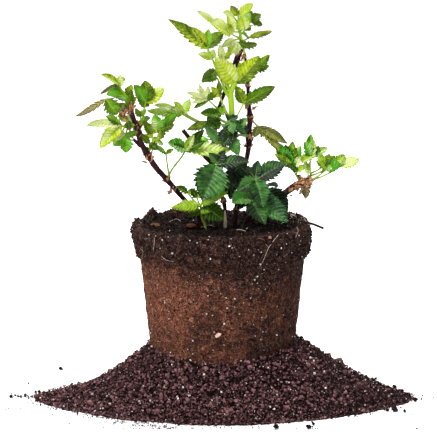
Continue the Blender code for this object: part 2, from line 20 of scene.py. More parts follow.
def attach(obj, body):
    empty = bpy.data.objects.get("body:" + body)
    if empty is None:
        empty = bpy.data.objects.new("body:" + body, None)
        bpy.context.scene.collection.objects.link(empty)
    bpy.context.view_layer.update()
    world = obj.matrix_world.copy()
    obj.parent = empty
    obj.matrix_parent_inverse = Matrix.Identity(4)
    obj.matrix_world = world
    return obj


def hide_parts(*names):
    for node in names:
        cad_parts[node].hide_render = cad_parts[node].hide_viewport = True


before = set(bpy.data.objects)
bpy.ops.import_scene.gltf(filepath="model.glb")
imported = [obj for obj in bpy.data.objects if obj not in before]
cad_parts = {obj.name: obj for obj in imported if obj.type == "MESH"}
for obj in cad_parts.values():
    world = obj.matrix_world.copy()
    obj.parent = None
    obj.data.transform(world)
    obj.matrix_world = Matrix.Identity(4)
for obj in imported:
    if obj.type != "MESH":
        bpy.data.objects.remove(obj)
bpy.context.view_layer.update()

log = logging.getLogger("bramble")

MM = 0.001
TURN = 2 * math.pi
VIEW_TILT = math.radians(9)
TWIST = 0.0035
TWIST_FROM = 160.0
# The photograph's column of the root ball's axis, and its row of the floor under that axis.
AXIS_PIXEL = 221.0
FLOOR_PIXEL = 398.0
PHOTO_WIDTH = 437

Pair = tuple[float, float]
Triple = tuple[float, float, float]
Place = Triple
Colour = tuple[float, float, float, float]


class Facing(Enum):
    """Which way a leaf's upper side looks."""

    VIEWER = (0.0, -1.0, 0.3)
    SKY = (0.0, -0.78, 0.62)
    SKY_RIGHT = (0.5, -0.65, 0.55)
    SKY_BACK = (0.0, 0.35, 0.95)
    BACK = (0.0, 0.9, 0.45)


class Tone(Enum):
    """Age of a spray's leaves, by the record's material slot."""

    YOUNG = "leaf_young"
    FRESH = "leaf_fresh"
    OLIVE = "leaf_olive"
    MATURE = "leaf_mature"


class Tint(Enum):
    """How one leaflet differs from its spray: in lightness, how far it has dried, and in coolness."""

    PLAIN = (0.0, 0.0, 0.0)
    # Lightness is partly the leaflet's own tone and partly painted light: DARK and DEEP leaflets are darker
    # where the bush lies in shade, PALE and LIGHT ones lighter where light catches it.
    PALE = (1.05, 0.0, -1.0)
    LIGHT = (0.66, 0.0, -1.0)
    DEEP = (-0.6, 0.0, 0.1)
    DARK = (-1.0, 0.0, 0.1)
    VIVID = (0.24, 0.0, 1.2)
    WARM = (0.16, 0.0, -1.0)
    BROWNED = (-0.1, 0.5, -1.0)
    DRY = (0.5, 1.0, -1.0)
    WITHERED = (-1.0, 1.0, -1.0)


@dataclass(frozen=True)
class Leaflet:
    """One blade, from its leaf's hub to its tip."""

    tip: Place
    width: float
    tint: Tint = Tint.PLAIN


@dataclass(frozen=True)
class Leaf:
    """A compound leaf: where it leaves its stem, its hub, the way it faces and its leaflets."""

    along: float
    hub: Place
    faces: Facing
    leaflets: tuple[Leaflet, ...]


@dataclass(frozen=True)
class SprayPlan:
    """A leafy side shoot: the cane that bears it and where, its own stem, and its leaves."""

    host: str | None
    node: float
    stem: tuple[Place, ...]
    radius: float
    tone: Tone
    leaves: tuple[Leaf, ...]


@dataclass(frozen=True)
class CanePlan:
    """A woody cane from inside the soil to its cut tip, with the radius at each point, and its stubs."""

    route: tuple[Place, ...]
    radii: tuple[float, ...]
    stubs: tuple["CanePlan", ...] = ()


def leaf(along: float, hub: Place, faces: Facing, *leaflets: tuple) -> Leaf:
    """Returns a leaf whose leaflets are given as the tip's place, the width and, if any, the tint."""
    return Leaf(along, hub, faces, tuple(Leaflet(each[:3], *each[3:]) for each in leaflets))


VIEWER, SKY, SKY_RIGHT, SKY_BACK, BACK = Facing
YOUNG, FRESH, OLIVE, MATURE = Tone
PALE, LIGHT, DEEP, DARK, VIVID, WARM, BROWNED, DRY, WITHERED = list(Tint)[1:]

CANES = {
    "cane_left": CanePlan(
        ((-17, 12, 155), (-22, 9, 180), (-27, 6, 188), (-38.2, 0, 199.9), (-51.9, -6, 215.8),
         (-64.6, -10, 229.8), (-72.2, -12, 241.6), (-79.6, -14, 254.8), (-81.8, -15, 265),
         (-86.7, -15, 278), (-90.5, -14, 288)),
        (2.3, 2.3, 2.3, 2.4, 2.7, 2.8, 3.2, 2.8, 2.6, 2.6, 2.3),
        (CanePlan(((-80, -14, 251), (-83.5, -15, 254.5), (-87, -16, 258)), (1.8, 1.7, 1.5)),)),
    "cane_centre": CanePlan(
        ((4.5, -6, 156), (4.5, -6, 175), (3.5, -5, 192), (-2, -3, 212), (-8, 0, 232), (-9, 1, 244),
         (-6.4, 2, 264), (-2, 2, 289), (4, 1, 306), (10, 0, 322), (16, -2, 338), (20.5, -3, 353)),
        (1.9, 1.9, 2.0, 2.1, 2.6, 2.2, 1.9, 1.8, 1.9, 2.4, 3.2, 2.8),
        (CanePlan(((-7, 0, 231), (-12, 1, 237), (-20.3, 2, 245), (-30, 3, 257), (-38, 4, 267.5)),
                  (2.0, 2.2, 2.1, 2.0, 2.2)),)),
    "cane_right": CanePlan(
        ((14, 0, 156), (14.4, 0, 178), (16, 0, 195), (20, 0, 215), (25, 0, 236), (27.8, 0, 252),
         (28.3, 0, 269), (29.2, 1, 280), (27.8, 3, 292), (26.8, 6, 312), (26, 8, 330), (23, 9, 344)),
        (2.2, 2.2, 2.1, 2.1, 2.1, 2.7, 2.7, 2.8, 2.2, 1.5, 1.4, 1.3)),
    "cane_low": CanePlan(
        ((25, 12, 158), (26, 12, 176), (34, 10, 186), (48, 6, 195), (61, 2, 202.5), (73, -2, 211),
         (82, -4, 215), (89, -5, 217)),
        (2.6, 2.6, 2.6, 2.8, 3.3, 3.6, 3.8, 3.4),
        (CanePlan(((80, -4, 214), (79, -4, 219), (77.5, -4, 223)), (2.2, 2.2, 1.7)),)),
}

SPRAYS = {
    "spray_left_tip": SprayPlan("cane_left", 284, ((-92, -16, 293), (-93, -17, 300)), 1.3, YOUNG, (
        leaf(0.9, (-101, -14, 312), SKY, (-117.5, -18, 320.5, 9), (-119, -10, 301.5, 4.8, WITHERED),
            (-96, -4, 319, 8)),
        leaf(0.5, (-113, -22, 297), VIEWER, (-143.5, -26, 279.5, 6.4, DRY), (-101.5, -30, 281.5, 16)),
        leaf(1.0, (-93, -17, 300), SKY, (-112, -27, 301, 18, VIVID), (-88, -8, 311, 9)))),
    "spray_left_low": SprayPlan("cane_left", 272, ((-91, -20, 272), (-97, -24, 270)), 1.2, YOUNG, (
        leaf(1.0, (-98.5, -24, 272), SKY, (-132, -30, 270.5, 11, PALE), (-119, -36, 248.5, 16, LIGHT),
            (-114, -20, 280, 9)),
        leaf(0.6, (-94.6, -29, 260), VIEWER, (-107, -33, 251.5, 12, VIVID), (-93.5, -38, 244, 15, VIVID),
            (-82, -33, 265, 8, DEEP)))),
    "spray_left_high": SprayPlan("cane_left", 268, ((-77.5, -15, 277), (-76, -15, 286), (-74.3, -15, 295)),
        0.95, YOUNG, (
        leaf(1.0, (-74.3, -15, 295), VIEWER, (-56, -20, 308, 15), (-75, -9, 315.5, 18, DEEP),
            (-86, -24, 311, 12, VIVID)),)),
    "spray_left_inner": SprayPlan("cane_left", 244, ((-66, -14, 254), (-62, -17, 262)), 1.1, YOUNG, (
        leaf(1.0, (-60.2, -18, 266.6), VIEWER, (-66, -22, 283, 13, VIVID), (-43.2, -22, 283, 11, VIVID),
            (-46, -28, 272, 10, DEEP), (-74, -22, 271, 9)),
        leaf(0.4, (-68, -4, 259), SKY, (-57, 2, 252, 8), (-75, 8, 263, 8, DEEP)))),
    "spray_left_mid": SprayPlan("cane_left", 218, ((-50, -8, 226), (-46, -9, 232)), 1.1, FRESH, (
        leaf(1.0, (-34, -11, 248.5), SKY, (-53, -17, 253.8, 17, VIVID), (-17, -2, 268, 11, DEEP),
            (11, -18, 248.5, 17, LIGHT)),
        leaf(0.3, (-54.8, -11, 244), SKY, (-67, -20, 250.5, 8), (-47, -17, 248, 6)))),
    "shoot_basal": SprayPlan(None, 0.0, ((-15.5, -12, 158), (-15.7, -12, 171), (-19.3, -14, 181),
        (-20.3, -16, 194)), 1.4, FRESH, (
        leaf(1.0, (-20.3, -16, 194.5), SKY, (-50, -26, 189.5, 13), (7, -27, 206, 12)),
        leaf(0.85, (-17, -14, 192), VIEWER, (2, -24, 177.5, 21, DARK)),
        leaf(0.9, (-33, -13, 204.5), SKY, (-44, -15, 211.5, 8, DEEP), (-25.5, -15, 209, 6)))),
    "spray_dark_left": SprayPlan("cane_centre", 210, ((-4, -12, 222), (-4.5, -24, 233)), 1.2, MATURE, (
        leaf(1.0, (-4.5, -24, 233), VIEWER, (-19, -35, 197, 35)),
        leaf(1.0, (-4.5, -24, 233), SKY, (28.5, -29, 236, 16, DEEP)))),
    "spray_dark_inner": SprayPlan("cane_right", 214, ((18, -9, 222), (17, -13, 233)), 1.1, MATURE, (
        leaf(1.0, (17, -13, 234), VIEWER, (25, -17, 211, 21, DARK), (8, -17, 213, 16, DARK)),)),
    "spray_dark_right": SprayPlan("cane_right", 199, ((22, -14, 203), (26, -25, 212), (28.5, -29, 219),
        (35.2, -33, 217.5)), 1.1, MATURE, (
        leaf(1.0, (35.2, -33, 217.5), SKY, (64.5, -37, 233.5, 21, DEEP)),
        leaf(1.0, (35.2, -33, 217.5), VIEWER, (41.5, -47, 190, 21), (17.5, -35, 207, 17, DEEP)))),
    "spray_dark_low": SprayPlan("cane_right", 188, ((20, -12, 196), (27, -22, 201)), 1.2, MATURE, (
        leaf(1.0, (29, -25, 202), SKY, (66, -41, 176, 26), (44, -50, 173.5, 22), (11, -37, 194, 20)),
        leaf(0.5, (46, -10, 209), VIEWER, (66, -16, 185, 22, DARK)))),
    "spray_arching": SprayPlan("cane_right", 281, ((34, -5, 274), (39.5, -9, 270.5)), 0.9, OLIVE, (
        leaf(1.0, (39.5, -9, 270.5), SKY_RIGHT, (66.5, -18, 254.5, 13), (58, -17, 246.5, 13),
            (40, 3, 261, 11, DARK)),)),
    "spray_centre": SprayPlan("cane_centre", 270, ((-7, -4, 273), (-4, -8, 279)), 1.1, FRESH, (
        leaf(1.0, (0, -9, 283), SKY, (-20.5, -12, 284, 13, DEEP), (4, -18, 292, 9),
            (-14, -18, 277, 10, DARK)),
        leaf(0.2, (-11, -7, 275), SKY, (-34, -10, 267.5, 10, BROWNED)),
        leaf(0.0, (-38, -8, 282.5), SKY, (-31, -12, 298, 10, LIGHT), (-46.5, -16, 295, 9, LIGHT),
            (-73.5, -12, 285.5, 12, WARM)))),
    "spray_middle": SprayPlan("cane_right", 262, ((20, -10, 262), (12, -18, 264)), 1.1, MATURE, (
        leaf(1.0, (8, -19, 277), VIEWER, (12.5, -24, 264, 11, LIGHT), (17, -21, 281, 8, DEEP)),
        leaf(0.5, (18.5, -12, 270), SKY, (26, -16, 279, 10, LIGHT), (13, -14, 277.5, 6)),
        leaf(1.0, (10, -17, 262), VIEWER, (18, -22, 242.5, 13), (1, -22, 251, 12, DEEP)))),
    "spray_narrow": SprayPlan("cane_centre", 288, ((-7, -3, 292), (-13.2, -6, 297.6)), 0.9, YOUNG, (
        leaf(1.0, (-13.2, -6, 297.6), SKY, (-4, -11, 306, 8, DEEP), (-24.5, -10, 308, 6, PALE),
            (-31, -8, 299.5, 6, PALE), (-27, -14, 288.5, 6, DARK), (-13, 2, 311, 6, PALE)),)),
    "shoot_centre": SprayPlan("cane_centre", 246, ((0, -8, 256), (7.2, -11, 267), (10.6, -11, 278),
        (10.2, -11, 294), (9.8, -10, 305), (14.4, -10, 314.5)), 3.5, YOUNG, (
        leaf(1.0, (14.2, -10, 314.5), VIEWER, (-6, -19, 339, 20), (38, -21, 341.5, 20, WARM)),
        leaf(0.86, (-13.9, -17, 347.8), SKY, (-50, -24, 375.5, 16, WARM), (3, -13, 364.3, 14),
            (-26, -3, 357, 9)),
        leaf(0.8, (-4.5, -5, 326), SKY, (-19, -9, 314.5, 13, DEEP), (-17, 5, 322, 10, DARK)),
        leaf(0.4, (22.5, -9, 294), VIEWER, (15, -13, 311, 12, DARK), (54, -17, 311, 14, DARK)))),
    "spray_crown": SprayPlan("cane_centre", 350, ((19, -6, 360), (17.5, -7, 371), (17, -6, 382)), 1.2,
        YOUNG, (
        leaf(0.6, (-5, -3, 374), SKY, (-23.5, -5, 385, 9, PALE)),
        leaf(0.3, (9, -12, 364), SKY, (-10.5, -20, 372, 21, WARM)),
        leaf(0.75, (14, -9, 378), SKY, (2, -12, 384, 10, LIGHT)),
        leaf(1.0, (17, -6, 382.5), VIEWER, (32, -9, 393.5, 10, LIGHT), (9.5, -3, 391, 8, BROWNED),
            (32, 2, 386, 9)),
        leaf(0.5, (30, -9, 375.5), SKY, (39.5, -10, 383.5, 11, DARK), (41.5, -14, 372.5, 9, DARK)),
        leaf(0.4, (24, -13, 367), VIEWER, (20, -19, 381, 13, LIGHT)),
        leaf(0.2, (28, -7, 359.5), SKY, (51, -10, 366.5, 8, BROWNED), (21, -15, 364, 7)),
        leaf(0.1, (23, -10, 350), SKY, (9.5, -15, 353, 9, PALE), (36, -10, 353.5, 10, DEEP)))),
    "spray_high_right": SprayPlan("cane_right", 318, ((31, 2, 323), (36, 0, 328)), 0.9, FRESH, (
        leaf(1.0, (36, 0, 328), SKY, (48.5, -4, 343.5, 10), (48, -8, 332, 11, DEEP), (33, -3, 339, 7)),)),
    "spray_low_left": SprayPlan("cane_low", 214.5, ((76, -6, 221), (71, -9, 230.5)), 0.95, FRESH, (
        leaf(1.0, (71, -9, 230.5), VIEWER, (55, -14, 256, 14, VIVID), (53, -14, 244, 8),
            (72, -6, 256.5, 12, DEEP), (80, -9, 252.5, 11)),)),
    "spray_low_right": SprayPlan("cane_low", 216.8, ((89.5, -6, 223), (89.3, -8, 233), (89.7, -9, 242.5)),
        0.95, FRESH, (
        leaf(1.0, (89.7, -9, 242.5), SKY, (90.5, -9, 264, 10), (83.5, -17, 256, 11, VIVID),
            (107, -14, 250.5, 10, VIVID), (81, -20, 235, 11)),
        leaf(0.0, (105, -9, 228), SKY, (120, -17, 234, 14, VIVID), (114, -3, 242.5, 10), (95, -14, 237, 8)),
        leaf(0.0, (119.5, -10, 231.5), SKY, (139, -14, 239.5, 13, LIGHT)))),
    "spray_back_left": SprayPlan("cane_left", 262, ((-84, -4, 266), (-84, 8, 271)), 1.0, FRESH, (
        leaf(1.0, (-84, 10, 272), BACK, (-98, 26, 279, 14), (-70, 26, 279, 14), (-84, 34, 274, 15)),)),
    "spray_back_low": SprayPlan("cane_centre", 196, ((-1, 8, 203), (-7, 20, 211)), 1.1, MATURE, (
        leaf(1.0, (-8, 22, 212), SKY_BACK, (-23, 40, 214, 18), (1, 44, 221, 16), (-13, 46, 203, 18)),)),
    "spray_back_right": SprayPlan("cane_right", 202, ((27, 10, 206), (37, 20, 210)), 1.1, MATURE, (
        leaf(1.0, (38, 22, 211), SKY_BACK, (57, 38, 212, 18), (39, 46, 222, 18), (47, 46, 200, 16)),)),
    "spray_back_middle": SprayPlan("cane_right", 258, ((20, 9, 266), (10, 20, 272)), 1.0, FRESH, (
        leaf(1.0, (8, 22, 273), SKY_BACK, (-8, 38, 280, 15), (20, 40, 278, 15), (6, 46, 268, 14)),)),
    "spray_back_inner": SprayPlan("cane_centre", 240, ((-13, 10, 245), (-17, 18, 249)), 1.0, FRESH, (
        leaf(1.0, (-17, 20, 250), SKY_BACK, (-32, 34, 253, 13), (-4, 38, 252, 14), (-18, 44, 262, 12)),)),
    "spray_back_high": SprayPlan("cane_right", 312, ((24, 14, 318), (20, 20, 323)), 0.95, YOUNG, (
        leaf(1.0, (19, 22, 324), SKY_BACK, (6, 36, 334, 14), (35, 36, 328, 14), (20, 42, 336, 12)),)),
    "spray_back_crown": SprayPlan("cane_right", 341, ((22, 15, 354), (20, 19, 364)), 0.95, YOUNG, (
        leaf(1.0, (19.5, 20, 367), SKY_BACK, (8, 34, 372, 12), (32, 34, 373, 12), (20, 38, 380, 11)),)),
}


# Small leaflets that crowd between the large ones; they are too many and too thin for the solids.
# Those tinted DARK stand in for shade deep within the bush: their darkness is painted shade.
FILLERS = {
    "spray_left_tip": (
        leaf(1.0, (-91, -15, 291), VIEWER, (-88.5, -19, 306, 10, DEEP), (-84, -17, 299, 8)),
        leaf(0.3, (-96, -19, 293), VIEWER, (-103, -24, 284, 9), (-98, -25, 280, 8, DEEP)),
        leaf(0.9, (-100, -13, 309), SKY, (-109, -17, 303, 9, DEEP), (-99, -15, 321, 8, LIGHT))),
    "spray_left_low": (
        leaf(0.4, (-92, -26, 276), VIEWER, (-101, -31, 282, 8, DEEP), (-90, -29, 266, 8, DARK)),
        leaf(0.8, (-97, -25, 266), VIEWER, (-106, -31, 256, 9, LIGHT), (-99, -30, 258, 7))),
    "spray_left_high": (
        leaf(0.3, (-80, -14, 280), VIEWER, (-84, -17, 288, 6, DARK), (-74, -16, 287, 6)),
        leaf(0.7, (-76, -14, 289), SKY, (-67, -14, 302, 8, DARK), (-82, -18, 304, 7, DARK))),
    "spray_left_inner": (
        leaf(0.5, (-68, -17, 263), VIEWER, (-76, -22, 276, 9, DARK), (-66, -21, 272, 8, LIGHT)),
        leaf(0.2, (-71, -14, 254), VIEWER, (-79, -20, 264, 7, DARK), (-62, -18, 248, 9, DEEP)),
        leaf(0.8, (-60, -16, 258), VIEWER, (-56, -21, 271, 8, DEEP))),
    "spray_left_mid": (
        leaf(0.9, (-36, -12, 246), VIEWER, (-49, -16, 252, 8, DARK), (-27, -15, 262, 9, LIGHT),
            (-16, -20, 256, 10, DEEP)),),
    "shoot_basal": (
        leaf(0.9, (-24, -15, 200), VIEWER, (-30, -18, 208, 8, DARK), (-18, -18, 206, 7)),
        leaf(0.8, (-21, -16, 188), VIEWER, (-33, -22, 184, 10, DARK), (-10, -22, 186, 9, DEEP))),
    "spray_dark_inner": (
        leaf(0.8, (12, -14, 224), VIEWER, (5, -19, 203, 15, DARK), (19, -19, 206, 12, DARK)),
        leaf(0.6, (12, -16, 216), VIEWER, (9, -19, 198, 10, DARK))),
    "spray_dark_right": (
        leaf(0.9, (34, -31, 219), VIEWER, (37, -34, 237, 12, DARK), (25, -33, 231, 10, DARK)),
        leaf(0.7, (30, -24, 220), VIEWER, (18, -26, 232, 13, DARK), (42, -26, 206, 14, DARK)),
        leaf(0.6, (28, -20, 214), VIEWER, (47, -24, 224, 11, DARK), (30, -24, 196, 14, DARK)),
        leaf(0.5, (28, -22, 206), VIEWER, (17, -28, 188, 13, DARK))),
    "spray_dark_left": (
        leaf(0.9, (-3, -22, 234), VIEWER, (4, -24, 247, 10, DARK), (-12, -25, 244, 9, DEEP)),),
    "spray_arching": (
        leaf(0.6, (37, -8, 271), VIEWER, (33, -13, 260, 9, DARK), (44, -14, 262, 8, DEEP)),),
    "spray_centre": (
        leaf(0.6, (-6, -9, 279), VIEWER, (-16, -15, 271, 9, DARK), (-2, -15, 268, 9, DARK)),
        leaf(0.1, (-39, -10, 286), SKY, (-52, -15, 290, 6, PALE), (-50, -17, 287, 8, DEEP)),
        leaf(0.1, (-44, -10, 287), SKY, (-66, -14, 291.5, 8, LIGHT))),
    "spray_middle": (
        leaf(0.7, (13, -17, 268), VIEWER, (3, -22, 269, 9, DEEP), (11, -22, 254, 9, DARK)),
        leaf(0.6, (-4, -13, 256), VIEWER, (-16, -15, 270, 11, LIGHT), (5, -16, 270, 8, DARK)),
        leaf(0.8, (25, -10, 263), VIEWER, (20, -14, 278, 9, DEEP), (4, -18, 284, 8, DEEP))),
    "spray_narrow": (
        leaf(0.9, (-14, -7, 299), VIEWER, (-35, -12, 304, 5, PALE), (-22, -10, 313, 4, PALE),
            (-29, -12, 294, 5, LIGHT), (-8, -10, 299, 6, DARK)),),
    "shoot_centre": (
        leaf(0.86, (-13.5, -15, 348.5), SKY, (-29, -20, 368, 12, LIGHT), (-12, -14, 367, 9)),
        leaf(0.75, (-9, -9, 338), VIEWER, (-23, -14, 342, 8, PALE), (-7, -13, 347, 8, PALE)),
        leaf(0.75, (-4, -8, 319), VIEWER, (-19, -12, 316, 8, DEEP)),
        leaf(0.85, (1, -12, 336), VIEWER, (-1, -16, 352, 8, PALE), (9, -17, 345, 8, LIGHT)),
        leaf(0.5, (-1, -10, 300), VIEWER, (-2, -14, 316, 6, DARK), (-10, -13, 310, 7, DEEP))),
    "spray_crown": (
        leaf(0.5, (13, -12, 365), VIEWER, (6, -17, 382, 9, LIGHT), (4, -18, 368, 9)),
        leaf(0.3, (14, -12, 357), VIEWER, (7, -16, 340, 9, PALE), (1, -16, 349, 8, PALE)),
        leaf(0.7, (22, -10, 372), VIEWER, (29, -14, 384, 9), (30, -14, 367, 8, DEEP)),
        leaf(0.2, (17, -11, 354), VIEWER, (14, -15, 341, 7, PALE), (29, -15, 350, 8, DARK))),
    "spray_low_left": (
        leaf(0.8, (73, -9, 231), VIEWER, (62, -14, 243, 9, DEEP), (80, -13, 241, 8, LIGHT)),
        leaf(0.5, (76, -9, 226), VIEWER, (84, -13, 233, 7, LIGHT), (68, -13, 234, 7, DARK)),
        leaf(0.9, (72, -10, 236), VIEWER, (64, -15, 253, 9, DARK))),
    "spray_low_right": (
        leaf(0.8, (91, -9, 240), VIEWER, (98, -13, 252, 9, DEEP), (94, -14, 257, 7, LIGHT)),
        leaf(0.3, (103, -10, 232), VIEWER, (98, -14, 245, 9), (109, -14, 244, 9, DEEP)),
        leaf(0.2, (112, -11, 233), VIEWER, (125, -14, 243, 9, LIGHT), (108, -14, 226, 7, LIGHT)),
        leaf(0.1, (87, -11, 223), VIEWER, (83.5, -14, 238, 6, PALE), (89, -14, 236, 5, LIGHT)),
        leaf(0.02, (86, -11, 213), VIEWER, (84, -13, 199, 8, WITHERED), (78, -12, 203, 5, DRY))),
}


def linear(colour: str) -> Colour:
    """Turns an sRGB hex value into the linear colour that a shader takes."""
    parts = [int(colour[i:i + 2], 16) / 255 for i in (1, 3, 5)]
    red, green, blue = (c / 12.92 if c <= 0.04045 else ((c + 0.055) / 1.055) ** 2.4 for c in parts)
    return red, green, blue, 1.0


def add_node(tree: bpy.types.NodeTree, kind: str, inputs: dict | None = None, output: int | str = 0,
             **settings: object) -> bpy.types.NodeSocket:
    """Adds a node with its settings and links.

    Args:
        tree: The material's or world's node tree.
        kind: The node's type name, without the word ShaderNode.
        inputs: For each input's name or number, the socket that feeds it, its value or its hex colour.
        output: The name or number of the output to return.
        **settings: The node's own properties.

    Returns:
        That output of the new node.
    """
    made = tree.nodes.new(f"ShaderNode{kind}")
    for name, value in settings.items():
        setattr(made, name, value)
    for name, value in (inputs or {}).items():
        if isinstance(value, bpy.types.NodeSocket):
            tree.links.new(value, made.inputs[name])
        else:
            made.inputs[name].default_value = linear(value) if isinstance(value, str) else value
    return made.outputs[output]


# Settings of the nodes that ease from one value to another, and of those that mix two colours.
SMOOTH = {"interpolation_type": "SMOOTHSTEP"}
COLOURS = {"data_type": "RGBA"}

# A leaf map's full height holds this many side veins, however many its blade has.
VEINS_PER_MAP = 10.0
DRIED_LEAF = "#bda67e"
DRIED_RIB = "#4d3a2c"

NodeMaker = Callable[..., bpy.types.NodeSocket]


@dataclass(frozen=True)
class Finish:
    """What a surface is made of and how it was made, with the nodes that draw it."""

    name: str

    def shader(self, add: NodeMaker) -> bpy.types.NodeSocket:
        """Returns the output of this finish's shader, made of nodes that add adds."""
        raise NotImplementedError

    @cache
    def material(self) -> bpy.types.Material:
        """Returns the material with this finish's shader, made at its first use."""
        made = bpy.data.materials.new(self.name)
        made.use_nodes = True
        tree = made.node_tree
        tree.nodes.clear()
        surface = tree.nodes.new("ShaderNodeOutputMaterial").inputs["Surface"]
        tree.links.new(self.shader(partial(add_node, tree)), surface)
        return made


@dataclass(frozen=True)
class PaintFinish(Finish):
    """Matt white paint, rolled on: it throws soft light back and has no gloss."""

    white: float = 0.95

    def shader(self, add: NodeMaker) -> bpy.types.NodeSocket:
        """Returns a plain diffuse shader."""
        return add("BsdfDiffuse", {"Color": (self.white, self.white, self.white, 1.0)})


@dataclass(frozen=True)
class LeafFinish(Finish):
    """Living bramble leaf, grown and waxy: light passes through it, so it glows yellower from behind.

    The real net of fine veins is too fine to show, so net_mm is about three times its size.
    """

    deep: str
    bright: str
    cool: str
    pale: str
    vein: str
    glow: str
    glow_share: float
    roughness: float
    vein_strength: float = 0.5
    patch_mm: float = 6.0
    net_mm: float = 1.1
    sheen: float = 0.18
    furrow_shade: float = 0.13
    refraction: float = 1.42
    relief: float = 0.35

    def shader(self, add: NodeMaker) -> bpy.types.NodeSocket:
        """Returns the blade's shader, whose veins follow the blade's own map."""
        place = add("TexCoord", output="Object")
        blade_map = add("SeparateXYZ", {0: place.node.outputs["UV"]})
        off_rib = add("Math", {0: blade_map, 1: 0.5}, operation="SUBTRACT")
        across = add("Math", {0: off_rib}, operation="ABSOLUTE")
        phase = add("Math", {0: blade_map.node.outputs["Y"], 1: VEINS_PER_MAP}, operation="MULTIPLY")
        to_vein = add("Math", {0: phase, 1: 0.5}, operation="PINGPONG")
        side_vein = add("MapRange", {0: to_vein, 1: 0.02, 2: 0.13, 3: 1.0, 4: 0.0}, **SMOOTH)
        fade = add("MapRange", {0: across, 1: 0.2, 2: 0.52, 3: 1.0, 4: 0.35}, **SMOOTH)
        side_vein = add("Math", {0: side_vein, 1: fade}, operation="MULTIPLY")
        rib = add("MapRange", {0: across, 1: 0.012, 2: 0.045, 3: 1.0, 4: 0.0}, **SMOOTH)
        veins = add("Math", {0: side_vein, 1: rib}, operation="MAXIMUM")

        patches = add("TexNoise", {"Vector": place, "Scale": 1 / (self.patch_mm * MM), "Detail": 3.0}, "Fac")
        tint, dried, coolness = (add("Attribute", None, "Fac", attribute_name=name)
                                 for name in ("lightness", "dried", "coolness"))
        spread = add("MapRange", {0: patches, 1: 0.3, 2: 0.7, 3: 0.3, 4: 0.66}, **SMOOTH)
        lightness = add("Math", {0: tint, 1: 0.6, 2: spread}, operation="MULTIPLY_ADD")
        # Painted shade and light on the pleats: darker along each side vein, where the blade dips, lighter
        # on the ridges between.
        between = add("MapRange", {0: to_vein, 1: 0.06, 2: 0.42, 3: -self.furrow_shade, 4: 0.8 * self.furrow_shade},
                      **SMOOTH)
        lightness = add("Math", {0: lightness, 1: between}, operation="ADD")
        bright = add("Mix", {0: coolness, 6: self.bright, 7: self.cool}, 2, **COLOURS)
        lit = add("MapRange", {0: lightness, 1: 0.12, 2: 0.72}, **SMOOTH)
        colour = add("Mix", {0: lit, 6: self.deep, 7: bright}, 2, **COLOURS)
        # Pale colour at the top of the lightness range: partly the blade's own paleness, partly painted
        # highlight.
        pale_and_highlight_share = add("MapRange", {0: lightness, 1: 0.68, 2: 1.2, 3: 0.0, 4: 0.95}, **SMOOTH)
        colour = add("Mix", {0: pale_and_highlight_share, 6: colour, 7: self.pale}, 2, **COLOURS)
        vein_share = add("Math", {0: veins, 1: self.vein_strength}, operation="MULTIPLY")
        colour = add("Mix", {0: vein_share, 6: colour, 7: self.vein}, 2, **COLOURS)

        edge = add("Math", {0: across, 1: 1.3, 2: patches}, operation="MULTIPLY_ADD")
        burnt = add("Math", {0: edge, 1: dried}, operation="MULTIPLY")
        off_vein = add("MapRange", {0: to_vein, 1: 0.04, 2: 0.3}, **SMOOTH)
        faded = add("MapRange", {0: tint, 1: -0.8, 2: 0.2, 3: 0.2, 4: 1.0}, **SMOOTH)
        bleached = add("Math", {0: off_vein, 1: faded}, operation="MULTIPLY")
        withered = add("Mix", {0: bleached, 6: DRIED_RIB, 7: DRIED_LEAF}, 2, **COLOURS)
        dry_share = add("MapRange", {0: burnt, 1: 0.3, 2: 0.62}, **SMOOTH)
        colour = add("Mix", {0: dry_share, 6: colour, 7: withered}, 2, **COLOURS)

        net = add("TexVoronoi", {"Vector": place, "Scale": 1 / (self.net_mm * MM)}, "Distance",
                  feature="SMOOTH_F1")
        height = add("Math", {0: veins, 1: -1.2, 2: net}, operation="MULTIPLY_ADD")
        normal = add("Bump", {"Height": height, "Strength": self.relief, "Distance": 0.35 * MM})
        body = add("BsdfPrincipled", {"Base Color": colour, "Roughness": self.roughness,
                                      "IOR": self.refraction, "Specular IOR Level": self.sheen,
                                      "Normal": normal})
        through = add("Mix", {0: 0.65, 6: colour, 7: self.glow}, 2, **COLOURS)
        glow = add("BsdfTranslucent", {"Color": through, "Normal": normal})
        return add("MixShader", {0: self.glow_share, 1: body, 2: glow})


@dataclass(frozen=True)
class StemFinish(Finish):
    """Green shoot and leaf stalk, grown and hairless: satin skin that reddens in patches."""

    green: str
    blush: str
    blush_from: float
    roughness: float = 0.42
    streak_mm: float = 2.2
    stretch: Triple = (1.0, 1.0, 0.2)
    refraction: float = 1.42
    sheen: float = 0.3
    depth_mm: float = 1.0

    def shader(self, add: NodeMaker) -> bpy.types.NodeSocket:
        """Returns the stem's shader, streaked along its height, which light enters a little."""
        place = add("TexCoord", output="Object")
        long_way = add("Mapping", {"Vector": place, "Scale": self.stretch})
        streaks = add("TexNoise", {"Vector": long_way, "Scale": 1 / (self.streak_mm * MM), "Detail": 4.0},
                      "Fac")
        blushed = add("MapRange", {0: streaks, 1: self.blush_from, 2: self.blush_from + 0.3}, **SMOOTH)
        colour = add("Mix", {0: blushed, 6: self.green, 7: self.blush}, 2, **COLOURS)
        normal = add("Bump", {"Height": streaks, "Strength": 0.3, "Distance": 0.2 * MM})
        return add("BsdfPrincipled", {"Base Color": colour, "Roughness": self.roughness,
                                      "IOR": self.refraction, "Specular IOR Level": self.sheen,
                                      "Normal": normal, "Subsurface Weight": 0.15,
                                      "Subsurface Scale": self.depth_mm * MM})


